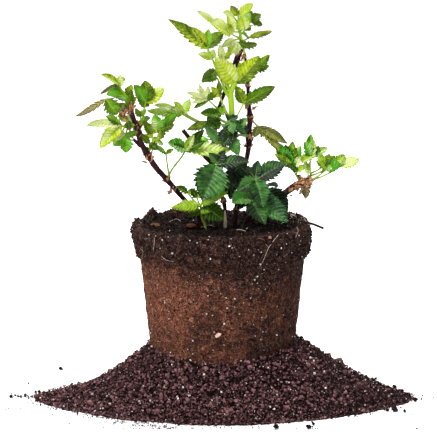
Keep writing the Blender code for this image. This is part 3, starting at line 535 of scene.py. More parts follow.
@dataclass(frozen=True)
class FlakedFinish(Finish):
    """Dry plant matter or soil: a matt ground, flecked and shaded lump by lump."""

    dark: str
    middle: str
    fleck: str
    lump_mm: float
    fleck_mm: float
    fleck_from: float = 0.6
    roughness: float = 0.9
    stretch: Triple = (1.0, 1.0, 1.0)
    bump: float = 0.5
    sheen: float = 0.08
    lump_share: float = 0.5
    gap_shade_and_depth: float = 0.0

    def shader(self, add: NodeMaker) -> bpy.types.NodeSocket:
        """Returns the shader, with one random shade a lump, painted shade in the gaps between lumps, which
        the bump also sinks, and finer flecks on top.
        """
        place = add("TexCoord", output="Object")
        fitted = add("Mapping", {"Vector": place, "Scale": self.stretch})
        lumps = add("TexVoronoi", {"Vector": fitted, "Scale": 1 / (self.lump_mm * MM)}, "Color")
        shade = add("SeparateXYZ", {0: lumps})
        fine = add("TexNoise", {"Vector": fitted, "Scale": 1 / (self.fleck_mm * MM), "Detail": 5.0,
                                "Roughness": 0.65}, "Fac")
        own = add("Attribute", None, "Fac", attribute_name="tone")
        shade = add("Math", {0: shade, 1: self.lump_share, 2: own}, operation="MULTIPLY_ADD")
        to_middle = lumps.node.outputs["Distance"]
        # Painted shade: the gaps between lumps are darkened, and the same mask sinks them in the bump.
        gap_shade_and_dip = add("MapRange", {0: to_middle, 1: 0.36, 2: 0.68, 3: 0.0, 4: -self.gap_shade_and_depth}, **SMOOTH)
        shade = add("Math", {0: shade, 1: gap_shade_and_dip}, operation="ADD")
        mixed = add("Math", {0: fine, 1: 0.9, 2: shade}, operation="MULTIPLY_ADD")
        lit = add("MapRange", {0: mixed, 1: 0.15, 2: 1.25}, **SMOOTH)
        colour = add("Mix", {0: lit, 6: self.dark, 7: self.middle}, 2, **COLOURS)
        flecked = add("MapRange", {0: fine, 1: self.fleck_from, 2: self.fleck_from + 0.16}, **SMOOTH)
        colour = add("Mix", {0: flecked, 6: colour, 7: self.fleck}, 2, **COLOURS)
        height = add("Math", {0: fine, 1: gap_shade_and_dip}, operation="ADD")
        depth = 0.4 * self.fleck_mm + 0.3 * self.gap_shade_and_depth * self.lump_mm
        normal = add("Bump", {"Height": height, "Strength": self.bump, "Distance": depth * MM})
        return add("BsdfPrincipled", {"Base Color": colour, "Roughness": self.roughness,
                                      "Specular IOR Level": self.sheen, "Normal": normal})


@dataclass(frozen=True)
class RootBallFinish(Finish):
    """Peat compost held by matted fine roots, moulded by the pot: brown root felt over near-black soil.
    The sunken top within the rim gets painted shade: a near-black that stands in for the leaves' shadow.

    Heights and the radius are in metres, as Object coordinates are.
    """

    name: str = "root_felted_peat_pot_moulded_shaded_top"
    soil: str = "#140908"
    soil_light: str = "#6b5048"
    felt: str = "#5c3325"
    felt_light: str = "#b67a61"
    # Near-black colour of the painted shade on the sunken top.
    painted_top_shade: str = "#090404"
    felt_deep: str = "#150504"
    strand_mm: float = 2.6
    strand_drift: Triple = (0.006, 0.006, 0.006)
    patch_mm: float = 38.0
    clump_mm: float = 7.0
    grain_mm: float = 2.9
    bare_from: float = 0.166
    felted_from: float = 0.105
    foot: float = 0.05
    left_felt: float = -2.7
    top_from: Pair = (0.162, 0.168)
    rim: Pair = (0.083, 0.074)

    def shader(self, add: NodeMaker) -> bpy.types.NodeSocket:
        """Returns the shader: felt grows below the collar, thickest on the left and thinner at the foot; the
        top within the rim gets painted shade.
        """
        place = add("TexCoord", output="Object")
        across = add("SeparateXYZ", {0: place}, "X")
        up = across.node.outputs["Z"]
        patch = add("TexNoise", {"Vector": place, "Scale": 1 / (self.patch_mm * MM), "Detail": 3.0,
                                 "Distortion": 0.4}, "Fac")
        rise = add("MapRange", {0: up, 1: self.bare_from, 2: self.felted_from, 3: -0.4, 4: 0.14}, **SMOOTH)
        thinner = add("MapRange", {0: up, 1: self.felted_from, 2: self.foot, 3: 0.0, 4: -0.2}, **SMOOTH)
        low = add("Math", {0: rise, 1: thinner}, operation="ADD")
        left = add("Math", {0: across, 1: self.left_felt, 2: low}, operation="MULTIPLY_ADD")
        amount = add("Math", {0: patch, 1: left}, operation="ADD")
        clump = add("TexNoise", {"Vector": place, "Scale": 1 / (self.clump_mm * MM), "Detail": 4.0,
                                 "Roughness": 0.7}, "Fac")
        amount = add("Math", {0: clump, 1: 1.3, 2: amount}, operation="MULTIPLY_ADD")
        amount = add("MapRange", {0: amount, 1: 0.85, 2: 1.55}, **SMOOTH)

        drift = add("TexNoise", {"Vector": place, "Scale": 1 / (self.clump_mm * MM), "Detail": 2.0}, "Color")
        bent = add("VectorMath", {0: drift, 1: self.strand_drift, 2: place}, operation="MULTIPLY_ADD")
        strands = add("TexVoronoi", {"Vector": bent, "Scale": 1 / (self.strand_mm * MM)}, "Distance",
                      feature="DISTANCE_TO_EDGE")
        strand = add("MapRange", {0: strands, 1: 0.03, 2: 0.16, 3: 1.0, 4: 0.0}, **SMOOTH)
        fine = add("TexNoise", {"Vector": place, "Scale": 1 / (self.grain_mm * MM), "Detail": 4.0,
                                "Roughness": 0.72, "Distortion": 1.4}, "Fac")
        lit = add("MapRange", {0: fine, 1: 0.42, 2: 0.55}, **SMOOTH)
        felt = add("Mix", {0: lit, 6: self.felt_deep, 7: self.felt}, 2, **COLOURS)
        tipped = add("MapRange", {0: fine, 1: 0.55, 2: 0.67}, **SMOOTH)
        felt = add("Mix", {0: tipped, 6: felt, 7: self.felt_light}, 2, **COLOURS)
        thread = add("Math", {0: strand, 1: 0.3}, operation="MULTIPLY")
        felt = add("Mix", {0: thread, 6: felt, 7: self.felt_light}, 2, **COLOURS)
        grit = add("MapRange", {0: fine, 1: 0.46, 2: 0.74}, **SMOOTH)
        ground = add("Mix", {0: grit, 6: self.soil, 7: self.soil_light}, 2, **COLOURS)
        colour = add("Mix", {0: amount, 6: ground, 7: felt}, 2, **COLOURS)

        # Painted shade: the top within the rim is darkened, standing in for the shadow of the leaves over
        # it.
        flat = add("VectorMath", {0: place, 1: (1.0, 1.0, 0.0)}, operation="MULTIPLY")
        away = add("VectorMath", {0: flat}, "Value", operation="LENGTH")
        raised = add("MapRange", {0: up, 1: self.top_from[0], 2: self.top_from[1]}, **SMOOTH)
        within = add("MapRange", {0: away, 1: self.rim[0], 2: self.rim[1], 3: 0.0, 4: 0.72}, **SMOOTH)
        shaded = add("Math", {0: within, 1: raised}, operation="MULTIPLY")
        colour = add("Mix", {0: shaded, 6: colour, 7: self.painted_top_shade}, 2, **COLOURS)
        height = add("Math", {0: strand, 1: 0.6, 2: fine}, operation="MULTIPLY_ADD")
        normal = add("Bump", {"Height": height, "Strength": 0.7, "Distance": 0.7 * MM})
        return add("BsdfPrincipled", {"Base Color": colour, "Roughness": 0.92, "Specular IOR Level": 0.06,
                                      "Normal": normal})


# Upper sides: waxed blades, glossier with age, through which young ones let more light.
LEAF_FINISHES = {
    YOUNG: LeafFinish("young_bramble_leaf_waxy", "#2b4e00", "#cadc2a", "#58ba1c", "#fafcc8", "#d4e66c",
                      "#e4ee30", glow_share=0.38, roughness=0.42, vein_strength=0.32),
    FRESH: LeafFinish("fresh_bramble_leaf_waxy", "#174502", "#accf28", "#42b018", "#f2fab8", "#b4d650",
                      "#c6e628", glow_share=0.32, roughness=0.4, vein_strength=0.32),
    OLIVE: LeafFinish("ageing_bramble_leaf_waxy", "#4c5318", "#969c3e", "#7f8a36", "#c4c272", "#b3b266",
                      "#b8b840", glow_share=0.26, roughness=0.5),
    MATURE: LeafFinish("mature_bramble_leaf_leathery", "#071a03", "#3d7a24", "#2b6c2c", "#8cb062", "#6a9a56",
                       "#4c8c20", glow_share=0.12, roughness=0.34, vein_strength=0.22, sheen=0.36,
                       furrow_shade=0.08),
}
# Undersides: a pale down that scatters light, so they look greyer and never shine.
UNDER_FINISHES = {
    YOUNG: LeafFinish("young_bramble_leaf_underside_downy", "#6d8f3c", "#a3bc5a", "#8fb45a", "#d3dea0",
                      "#dbe6a4", "#c2de2a", glow_share=0.34, roughness=0.75),
    FRESH: LeafFinish("fresh_bramble_leaf_underside_downy", "#547a3c", "#8aa764", "#76a060", "#c5d29c",
                      "#c9d8a0", "#a6d824", glow_share=0.3, roughness=0.75),
    OLIVE: LeafFinish("ageing_bramble_leaf_underside_downy", "#7d8350", "#a9aa78", "#9a9e70", "#c9c79c",
                      "#cfcea6", "#b8b840", glow_share=0.26, roughness=0.78),
    MATURE: LeafFinish("mature_bramble_leaf_underside_downy", "#2f4a30", "#5a7854", "#4f7456", "#8aa580",
                       "#93a98a", "#4c8c20", glow_share=0.12, roughness=0.72),
}
# Stalks: juicy green skin with a soft shine, redder with age.
STEM_FINISHES = {
    YOUNG: StemFinish("young_shoot_skin_satin", "#93b51f", "#b9b23c", blush_from=0.62),
    FRESH: StemFinish("fresh_shoot_skin_satin", "#85a238", "#8f7240", blush_from=0.58),
    OLIVE: StemFinish("ageing_shoot_skin_satin", "#7d7f48", "#6c4a38", blush_from=0.45),
    MATURE: StemFinish("mature_stalk_skin_satin", "#6b8840", "#6a3a2e", blush_from=0.5),
}
# Damp compost, settled: purplish brown lumps. Its near-black ground and the near-black gaps between lumps
# are painted shade, for the shadows between the crumbs.
SOIL_BED = FlakedFinish("peat_compost_damp_settled_painted_shade", "#0a0202", "#5c3d3e", "#9a7474", lump_mm=4.2,
                        fleck_mm=1.3, roughness=0.95, bump=1.0, lump_share=0.7, gap_shade_and_depth=0.9)
# Loose compost, crumbled: the same soil drier, each crumb in its own shade.
CRUMB = FlakedFinish("peat_compost_loose_crumbled", "#150405", "#855e60", "#dcbcbe", lump_mm=1.8,
                     fleck_mm=1.0, roughness=0.93, bump=0.9)
RIM_CRUMB = FlakedFinish("peat_compost_dry_rim", "#0f0706", "#49332d", "#94796d", lump_mm=1.8,
                         fleck_mm=1.0, roughness=0.95, bump=0.9)
# Smooth one-year bark, ridged along the cane: dark wine brown with a dull shine.
BARK = FlakedFinish("one_year_cane_bark_ridged", "#180a0d", "#401d23", "#7e5145", lump_mm=2.4, fleck_mm=1.1,
                    roughness=0.5, stretch=(1.0, 1.0, 0.22), bump=0.6)
# Sawn wood and pith: dry and cream white against the bark.
PITH = FlakedFinish("cut_cane_pith_sawn", "#d2bc94", "#f8ecd2", "#fffaf0", lump_mm=0.9, fleck_mm=0.5,
                    fleck_from=0.55, roughness=0.85)
# Dried bud scales: papery rust and straw, with cream flecks that are painted highlights.
SCALE = FlakedFinish("bud_scale_papery_dried", "#5f301c", "#d8a074", "#ffecd4", lump_mm=2.6, fleck_mm=0.8,
                     fleck_from=0.56, roughness=0.7, stretch=(1.0, 1.0, 0.35), bump=0.8)
# Volcanic glass, puffed by heat: chalk white grains with pores.
PERLITE = FlakedFinish("perlite_expanded_glass", "#b9b0a8", "#e6e0da", "#ffffff", lump_mm=1.6, fleck_mm=0.5,
                       fleck_from=0.55, roughness=0.8, bump=0.9)
# Quartz pebbles, broken: pinkish white and nearly matt.
PEBBLE = FlakedFinish("quartz_pebble_pinkish", "#8d6355", "#d8b0a2", "#fff0e8", lump_mm=1.8, fleck_mm=0.6,
                      fleck_from=0.58, roughness=0.75)
# Pine bark, shredded: fox brown flakes with grain along them.
CHIP = FlakedFinish("pine_bark_chip_shredded", "#28140c", "#6b4226", "#9c6c42", lump_mm=2.0, fleck_mm=0.7,
                    roughness=0.85, stretch=(0.35, 1.0, 1.0), bump=1.0)
# Fine roots: tan where dried on the ball, cream where fresh.
ROOT_TAN = FlakedFinish("fine_root_dried_tan", "#33180f", "#70432f", "#a97c5e", lump_mm=4.0, fleck_mm=1.0,
                        roughness=0.8)
ROOT_PALE = FlakedFinish("root_hair_fresh_cream", "#a58b7a", "#dac6b2", "#faf0e2", lump_mm=5.0, fleck_mm=1.2,
                         fleck_from=0.55, roughness=0.7)
# Dead twigs, weathered: grey brown and dull.
TWIG = FlakedFinish("dead_twig_weathered", "#150d0c", "#3a2721", "#6b5348", lump_mm=2.0, fleck_mm=0.9,
                    fleck_from=0.62, roughness=0.85)


def seen(place: Place) -> np.ndarray:
    """Returns the point in the frame, in millimetres, of a place given as the front shows it."""
    across, back, up = place
    back += TWIST * across * (up - TWIST_FROM)
    height = (up - back * math.sin(VIEW_TILT)) / math.cos(VIEW_TILT)
    return np.array((across, back, height))


def unit(vector: np.ndarray) -> np.ndarray:
    """Returns the vector at length 1, or each row at length 1."""
    return vector / np.maximum(np.linalg.norm(vector, axis=-1, keepdims=True), 1e-9)


def noise_at(points: np.ndarray, grain: float, offset: float = 0.0) -> np.ndarray:
    """Returns smooth noise from -1 to 1 at each point, with lumps of about this grain in millimetres."""
    return np.array([noise.noise(Vector(p)) for p in points / grain + offset])


def cells_at(points: np.ndarray, grain: float) -> np.ndarray:
    """Returns 1 at the middle of each random cell of this grain and less towards its edge."""
    return np.array([1.0 - min(noise.voronoi(Vector(p))[0][0], 1.0) for p in points / grain])


def smooth_route(points: np.ndarray, values: np.ndarray, between: int) -> tuple[np.ndarray, np.ndarray]:
    """Draws a curve through points.

    Args:
        points: The points to pass, one a row.
        values: A value at each point, such as a radius.
        between: Steps from each point to the next.

    Returns:
        The curve's points, and the values along it.
    """
    route, along = [], []
    for i in range(len(points) - 1):
        before, after = points[max(i - 1, 0)], points[min(i + 2, len(points) - 1)]
        start, end = points[i], points[i + 1]
        for step in range(between):
            t = step / between
            route.append(0.5 * (2 * start + (end - before) * t
                                + (2 * before - 5 * start + 4 * end - after) * t ** 2
                                + (3 * start - before - 3 * end + after) * t ** 3))
            along.append(values[i] + (values[i + 1] - values[i]) * t)
    return np.array(route + [points[-1]]), np.array(along + [values[-1]])


def point_along(route: np.ndarray, share: float) -> np.ndarray:
    """Returns the point at this share of a route's length."""
    steps = np.linalg.norm(np.diff(route, axis=0), axis=1)
    reached = np.concatenate(([0.0], np.cumsum(steps)))
    return np.array([np.interp(share * reached[-1], reached, route[:, i]) for i in range(3)])


@dataclass
class Shape:
    """Corners and faces of a mesh in millimetres, with values for each corner and a slot for each face."""

    points: np.ndarray
    faces: list[np.ndarray]
    slots: list[np.ndarray] = field(default_factory=list)
    values: dict[str, np.ndarray] = field(default_factory=dict)
    uv: np.ndarray | None = None

    def in_slot(self, slot: int) -> "Shape":
        """Gives every face this material slot."""
        self.slots = [np.full(len(faces), slot) for faces in self.faces]
        return self


def joined(shapes: list[Shape]) -> Shape:
    """Returns one shape of several."""
    points, faces, slots, start = [], {3: [], 4: []}, {3: [], 4: []}, 0
    names = {name for shape in shapes for name in shape.values}
    values: dict[str, list[np.ndarray]] = {name: [] for name in names}
    maps = []
    for shape in shapes:
        for i, each in enumerate(shape.faces):
            if len(each):
                faces[each.shape[1]].append(each + start)
                slots[each.shape[1]].append(shape.slots[i] if shape.slots else np.zeros(len(each), int))
        for name in names:
            values[name].append(shape.values.get(name, np.zeros(len(shape.points))))
        maps.append(shape.uv if shape.uv is not None else np.zeros((len(shape.points), 2)))
        points.append(shape.points)
        start += len(shape.points)
    kinds = [kind for kind in (4, 3) if faces[kind]]
    return Shape(np.concatenate(points), [np.concatenate(faces[kind]) for kind in kinds],
                 [np.concatenate(slots[kind]) for kind in kinds],
                 {name: np.concatenate(found) for name, found in values.items()},
                 np.concatenate(maps) if any(shape.uv is not None for shape in shapes) else None)


def only(made: bpy.types.Object) -> None:
    """Selects this object alone and makes it active."""
    bpy.ops.object.select_all(action="DESELECT")
    made.select_set(True)
    bpy.context.view_layer.objects.active = made


def to_object(name: str, shape: Shape, finishes: list[Finish], smooth: bool = True) -> bpy.types.Object:
    """Makes an object of a shape.

    Args:
        name: The object's name.
        shape: Its corners and faces, in millimetres.
        finishes: The finish of each material slot.
        smooth: Whether its faces shade into each other.

    Returns:
        The object, at the origin, with its place in its mesh.
    """
    mesh = bpy.data.meshes.new(name)
    mesh.vertices.add(len(shape.points))
    mesh.vertices.foreach_set("co", (shape.points * MM).astype(np.float32).ravel())
    loops = np.concatenate([faces.ravel() for faces in shape.faces]).astype(np.int32)
    mesh.loops.add(len(loops))
    mesh.loops.foreach_set("vertex_index", loops)
    counts = np.concatenate([np.full(len(faces), faces.shape[1]) for faces in shape.faces])
    mesh.polygons.add(len(counts))
    mesh.polygons.foreach_set("loop_start", np.concatenate(([0], np.cumsum(counts)[:-1])).astype(np.int32))
    if shape.slots:
        mesh.polygons.foreach_set("material_index", np.concatenate(shape.slots).astype(np.int32))
    if shape.uv is not None:
        layer = mesh.uv_layers.new(name="blade_map")
        layer.data.foreach_set("uv", shape.uv[loops].astype(np.float32).ravel())
    for label, values in shape.values.items():
        attribute = mesh.attributes.new(label, "FLOAT", "POINT")
        attribute.data.foreach_set("value", values.astype(np.float32))
    mesh.update(calc_edges=True)
    mesh.validate()
    made = bpy.data.objects.new(name, mesh)
    bpy.context.scene.collection.objects.link(made)
    for finish in finishes:
        mesh.materials.append(finish.material())
    if smooth:
        mesh.shade_smooth()
    else:
        mesh.shade_flat()
    return made


def apply_modifier(made: bpy.types.Object, kind: str, **settings: object) -> None:
    """Adds a modifier with these settings and applies it."""
    only(made)
    modifier = made.modifiers.new(kind.lower(), kind)
    for name, value in settings.items():
        setattr(modifier, name, value)
    bpy.ops.object.modifier_apply(modifier=modifier.name)


def merge_doubles(made: bpy.types.Object) -> None:
    """Merges corners that share one place, such as those at a blade's tip."""
    only(made)
    bpy.ops.object.mode_set(mode="EDIT")
    bpy.ops.mesh.select_all(action="SELECT")
    bpy.ops.mesh.remove_doubles(threshold=0.005 * MM)
    bpy.ops.object.mode_set(mode="OBJECT")


def shape_of(made: bpy.types.Object) -> Shape:
    """Returns an object's triangles as a shape, in millimetres, and removes the object."""
    apply_modifier(made, "TRIANGULATE")
    mesh = made.data
    points = np.empty(len(mesh.vertices) * 3, np.float32)
    mesh.vertices.foreach_get("co", points)
    faces = np.empty(len(mesh.polygons) * 3, np.int32)
    mesh.polygons.foreach_get("vertices", faces)
    bpy.data.objects.remove(made)
    return Shape(points.reshape(-1, 3).astype(float) / MM, [faces.reshape(-1, 3)])


def place_piece(made: bpy.types.Object, slot: str, *nodes: str) -> None:
    """Makes a piece ride on the body and stand for these nodes, and logs it."""
    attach(made, "root")
    if nodes:
        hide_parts(*nodes)
    count = sum(len(polygon.vertices) - 2 for polygon in made.data.polygons)
    log.info("%s: %d triangles", made.name, count)


def make_piece(name: str, shape: Shape, finishes: list[Finish], slot: str, *nodes: str,
               smooth: bool = True) -> None:
    """Makes an object of a shape and places it as a piece."""
    place_piece(to_object(name, shape, finishes, smooth), slot, *nodes)


def ring_corners(rings: int, sides: int) -> tuple[np.ndarray, np.ndarray]:
    """Returns each corner that starts a face between two rings of corners, and the next one round."""
    ring, step = np.meshgrid(np.arange(rings - 1), np.arange(sides), indexing="ij")
    return (ring * sides + step).ravel(), (ring * sides + (step + 1) % sides).ravel()


def tube(route: np.ndarray, radii: np.ndarray, sides: int, dome: float = 0.4) -> Shape:
    """Makes a round stem.

    Args:
        route: The points along its axis.
        radii: Its radius at each point.
        sides: Faces round it.
        dome: How far each end bulges, in radii.

    Returns:
        The closed stem.
    """
    heading = unit(np.gradient(route, axis=0))
    side = unit(np.cross(heading[0], (0.31, 0.87, 0.38)))
    rings = []
    for point, along, radius in zip(route, heading, radii):
        side = unit(side - along * np.dot(side, along))
        other = np.cross(along, side)
        turn = np.linspace(0, TURN, sides, endpoint=False)[:, None]
        rings.append(point + radius * (np.cos(turn) * side + np.sin(turn) * other))
    ends = [route[0] - heading[0] * radii[0] * dome, route[-1] + heading[-1] * radii[-1] * dome]
    count = len(route)
    first, second = ring_corners(count, sides)
    quads = np.stack((first, second, second + sides, first + sides), axis=1)
    around = np.arange(sides)
    low, high = count * sides, count * sides + 1
    last = (count - 1) * sides
    caps = np.concatenate((
        np.stack((np.full(sides, low), (around + 1) % sides, around), axis=1),
        np.stack((np.full(sides, high), last + around, last + (around + 1) % sides), axis=1)))
    return Shape(np.concatenate([*rings, ends]), [quads, caps])


def scattered(master: Shape, places: np.ndarray, sizes: np.ndarray, rng: np.random.Generator,
              stretch: float = 0.3, tones: Pair = (-0.8, 0.6)) -> Shape:
    """Copies a small shape to many places, each turned and stretched at random.

    Args:
        master: The shape, about 1 mm in radius.
        places: Where the copies go, one a row.
        sizes: Each copy's radius.
        rng: The source of random numbers.
        stretch: How far a copy's sides may differ.
        tones: The darkest and the lightest that a copy may be.

    Returns:
        All the copies.
    """
    count = len(places)
    turns = unit(rng.normal(size=(count, 4)))
    w, x, y, z = turns.T
    spin = np.stack((1 - 2 * (y * y + z * z), 2 * (x * y - z * w), 2 * (x * z + y * w),
                     2 * (x * y + z * w), 1 - 2 * (x * x + z * z), 2 * (y * z - x * w),
                     2 * (x * z - y * w), 2 * (y * z + x * w), 1 - 2 * (x * x + y * y)),
                    axis=1).reshape(count, 3, 3)
    scale = sizes[:, None] * rng.uniform(1 - stretch, 1 + stretch, (count, 3))
    corners = master.points[None] * scale[:, None]
    corners = np.einsum("nij,nkj->nki", spin, corners) + places[:, None]
    starts = np.arange(count)[:, None, None] * len(master.points)
    faces = (master.faces[0][None] + starts).reshape(-1, master.faces[0].shape[1])
    drift = 0.35 * noise_at(places, 13.0, 5.0) + 0.9 * noise_at(places, 3.8, 2.0)
    tone = np.repeat(rng.uniform(*tones, count) + drift, len(master.points))
    return Shape(corners.reshape(-1, 3), [faces], [], {"tone": tone})


def crumb_masters(detail: int, roughness: float, count: int, seed: int) -> list[Shape]:
    """Models a few irregular lumps of about 1 mm in radius.

    Args:
        detail: 0 for 8 faces, 1 for 20, 2 for 80.
        roughness: How far the surface departs from a ball.
        count: How many to make.
        seed: Start of the random draw.

    Returns:
        The lumps.
    """
    masters = []
    for i in range(count):
        bpy.ops.object.select_all(action="DESELECT")
        bpy.ops.mesh.primitive_ico_sphere_add(subdivisions=max(detail, 1), radius=MM)
        lump = bpy.context.object
        bpy.ops.object.mode_set(mode="EDIT")
        bpy.ops.mesh.select_all(action="SELECT")
        bpy.ops.transform.vertex_random(offset=roughness * MM, uniform=0.6, seed=seed + i)
        bpy.ops.object.mode_set(mode="OBJECT")
        if not detail:
            apply_modifier(lump, "DECIMATE", ratio=0.4)
        masters.append(shape_of(lump))
    return masters


def scatter_all(masters: list[Shape], places: np.ndarray, sizes: np.ndarray, rng: np.random.Generator,
                stretch: float = 0.3, tones: Pair = (-0.8, 0.6)) -> Shape:
    """Shares many places out among a few masters and returns all the copies."""
    shapes = [scattered(master, places[i::len(masters)], sizes[i::len(masters)], rng, stretch, tones)
              for i, master in enumerate(masters)]
    return joined(shapes)


@dataclass
class BladeMaker:
    """Cuts, pleats and bends bramble leaflets out of a flat grid that is modelled once."""

    columns: int = 5
    rows_a_vein: int = 6
    teeth: tuple[float, ...] = (0.0, 1.0, 0.6, 0.28, 0.74, 0.36)
    coarse_teeth: tuple[float, ...] = (0.0, 1.0, 0.82, 0.62, 0.42, 0.2)
    tooth_depth: float = 0.38
    small_tooth_depth: float = 0.55
    small_below: float = 21.0
    tooth_point: float = 0.5
    vein_lean: float = 0.21
    pleat: float = 0.28
    fullness: float = 1.14
    widest_low: float = 0.8
    arch: float = 0.02
    fold: Pair = (0.1, 0.42)
    base_sink: float = 0.3
    wave: Pair = (0.02, 0.05)
    droop: Pair = (-0.03, 0.05)
    twist: float = 0.22
    bow: float = 0.04
    shade: Pair = (-0.38, 0.62)
    painted_half_shade_range: Pair = (0.1, 0.36)
    cooling: Pair = (-1.1, 0.9)
    vein_counts: tuple[tuple[float, int], ...] = ((9.0, 4), (13.0, 5), (18.0, 6), (25.0, 8), (90.0, 10))
    grids: dict[int, Shape] = field(default_factory=dict)

    def grid(self, veins: int) -> Shape:
        """Returns the flat grid for a blade with this many side veins, made at its first use."""
        if veins not in self.grids:
            bpy.ops.object.select_all(action="DESELECT")
            bpy.ops.mesh.primitive_grid_add(x_subdivisions=2 * self.columns,
                                            y_subdivisions=veins * self.rows_a_vein, size=2 * MM)
            flat = bpy.context.object
            mesh = flat.data
            points = np.empty(len(mesh.vertices) * 3, np.float32)
            mesh.vertices.foreach_get("co", points)
            faces = np.empty(len(mesh.polygons) * 4, np.int32)
            mesh.polygons.foreach_get("vertices", faces)
            bpy.data.objects.remove(flat)
            self.grids[veins] = Shape(points.reshape(-1, 3) / MM, [faces.reshape(-1, 4)])
        return self.grids[veins]

    def outline(self, t: np.ndarray) -> np.ndarray:
        """Returns half the width along the rib, where 1 is the widest."""
        return np.maximum(np.sin(math.pi * np.clip(t, 0, 1) ** self.widest_low), 0.0) ** 0.8

    def blade(self, base: np.ndarray, tip: np.ndarray, plan: Leaflet, faces: Facing,
              rng: np.random.Generator) -> Shape:
        """Makes one leaflet as a single sheet.

        Args:
            base: Its foot, at the leaf's hub.
            tip: Its tip.
            plan: Its width and tint.
            faces: The way its upper side looks.
            rng: The source of its small differences.

        Returns:
            The sheet, with its map and tint.
        """
        rib = unit(tip - base)
        base = base - rib * self.base_sink
        length = float(np.linalg.norm(tip - base))
        up = np.array(faces.value) - rib * np.dot(faces.value, rib)
        up = unit(up)
        side = np.cross(rib, up)
        veins = next(count for longest, count in self.vein_counts if length < longest)
        flat = self.grid(veins)
        s, t = flat.points[:, 0], np.clip((flat.points[:, 1] + 1) / 2, 0.0, 1.0)
        out = np.clip(np.abs(s), 0.0, 1.0)
        row = np.rint(t * veins * self.rows_a_vein).astype(int)
        beat = row % self.rows_a_vein
        small = length < self.small_below
        cut = np.array(self.coarse_teeth if small else self.teeth)[beat]
        middle = np.maximum(np.sin(math.pi * t), 0.0)
        second = 0.0 if small else 0.5 * self.tooth_point
        point = np.where(beat == 0, self.tooth_point, np.where(beat == 3, second, 0.0))
        spacing = 1.0 / veins
        along = t + self.vein_lean * out ** 0.9 * middle + point * spacing * out ** 6 * middle
        half = plan.width / 2 * self.fullness * self.outline(along)
        depth = self.small_tooth_depth if small else self.tooth_depth
        across = half * out * (1 - depth * cut * out ** 4)
        q = beat / self.rows_a_vein
        puff = self.pleat * length * spacing * (4 * q * (1 - q) - 0.5) * middle ** 0.6
        puff = puff * (1 - np.exp(-((out / 0.16) ** 2))) * (1 - 0.25 * out)
        phase, wave = rng.uniform(0, TURN), rng.uniform(*self.wave)
        ripple = wave * plan.width * np.sin(phase + 9 * t + 1.3 * np.sign(s)) * out ** 2 * middle
        droop = rng.uniform(*self.droop) * length * t ** 3
        twist = rng.uniform(-self.twist, self.twist) * (t - 0.3)
        fold = rng.uniform(*self.fold) * across
        rise = self.arch * length * 4 * t * (1 - t) + fold + puff + ripple - droop
        sideways = np.sign(s) * across
        turned_side = sideways * np.cos(twist) - rise * np.sin(twist) * 0.3
        turned_up = rise + sideways * np.sin(twist)
        bow = rng.uniform(-self.bow, self.bow) * length * 4 * t * (1 - t)
        points = (base + np.outer(along * length, rib) + np.outer(turned_side + bow, side)
                  + np.outer(turned_up, up))
        lightness, dried, cooler = plan.tint.value
        # Painted light: one half of the blade is made lighter and the other darker, as if its fold turned
        # one half to the light.
        painted_half_shade = rng.choice((-1.0, 1.0)) * rng.uniform(*self.painted_half_shade_range)
        lightness = lightness + rng.uniform(*self.shade) + painted_half_shade * np.clip(4 * s, -1, 1)
        coolness = float(np.clip(cooler + rng.uniform(*self.cooling), 0.0, 1.0))
        uv = np.stack((s / 2 + 0.5, t * veins / VEINS_PER_MAP), axis=1)
        return Shape(points, list(flat.faces), [], {"lightness": lightness,
                                                    "dried": np.full(len(s), dried),
                                                    "coolness": np.full(len(s), coolness)}, uv)


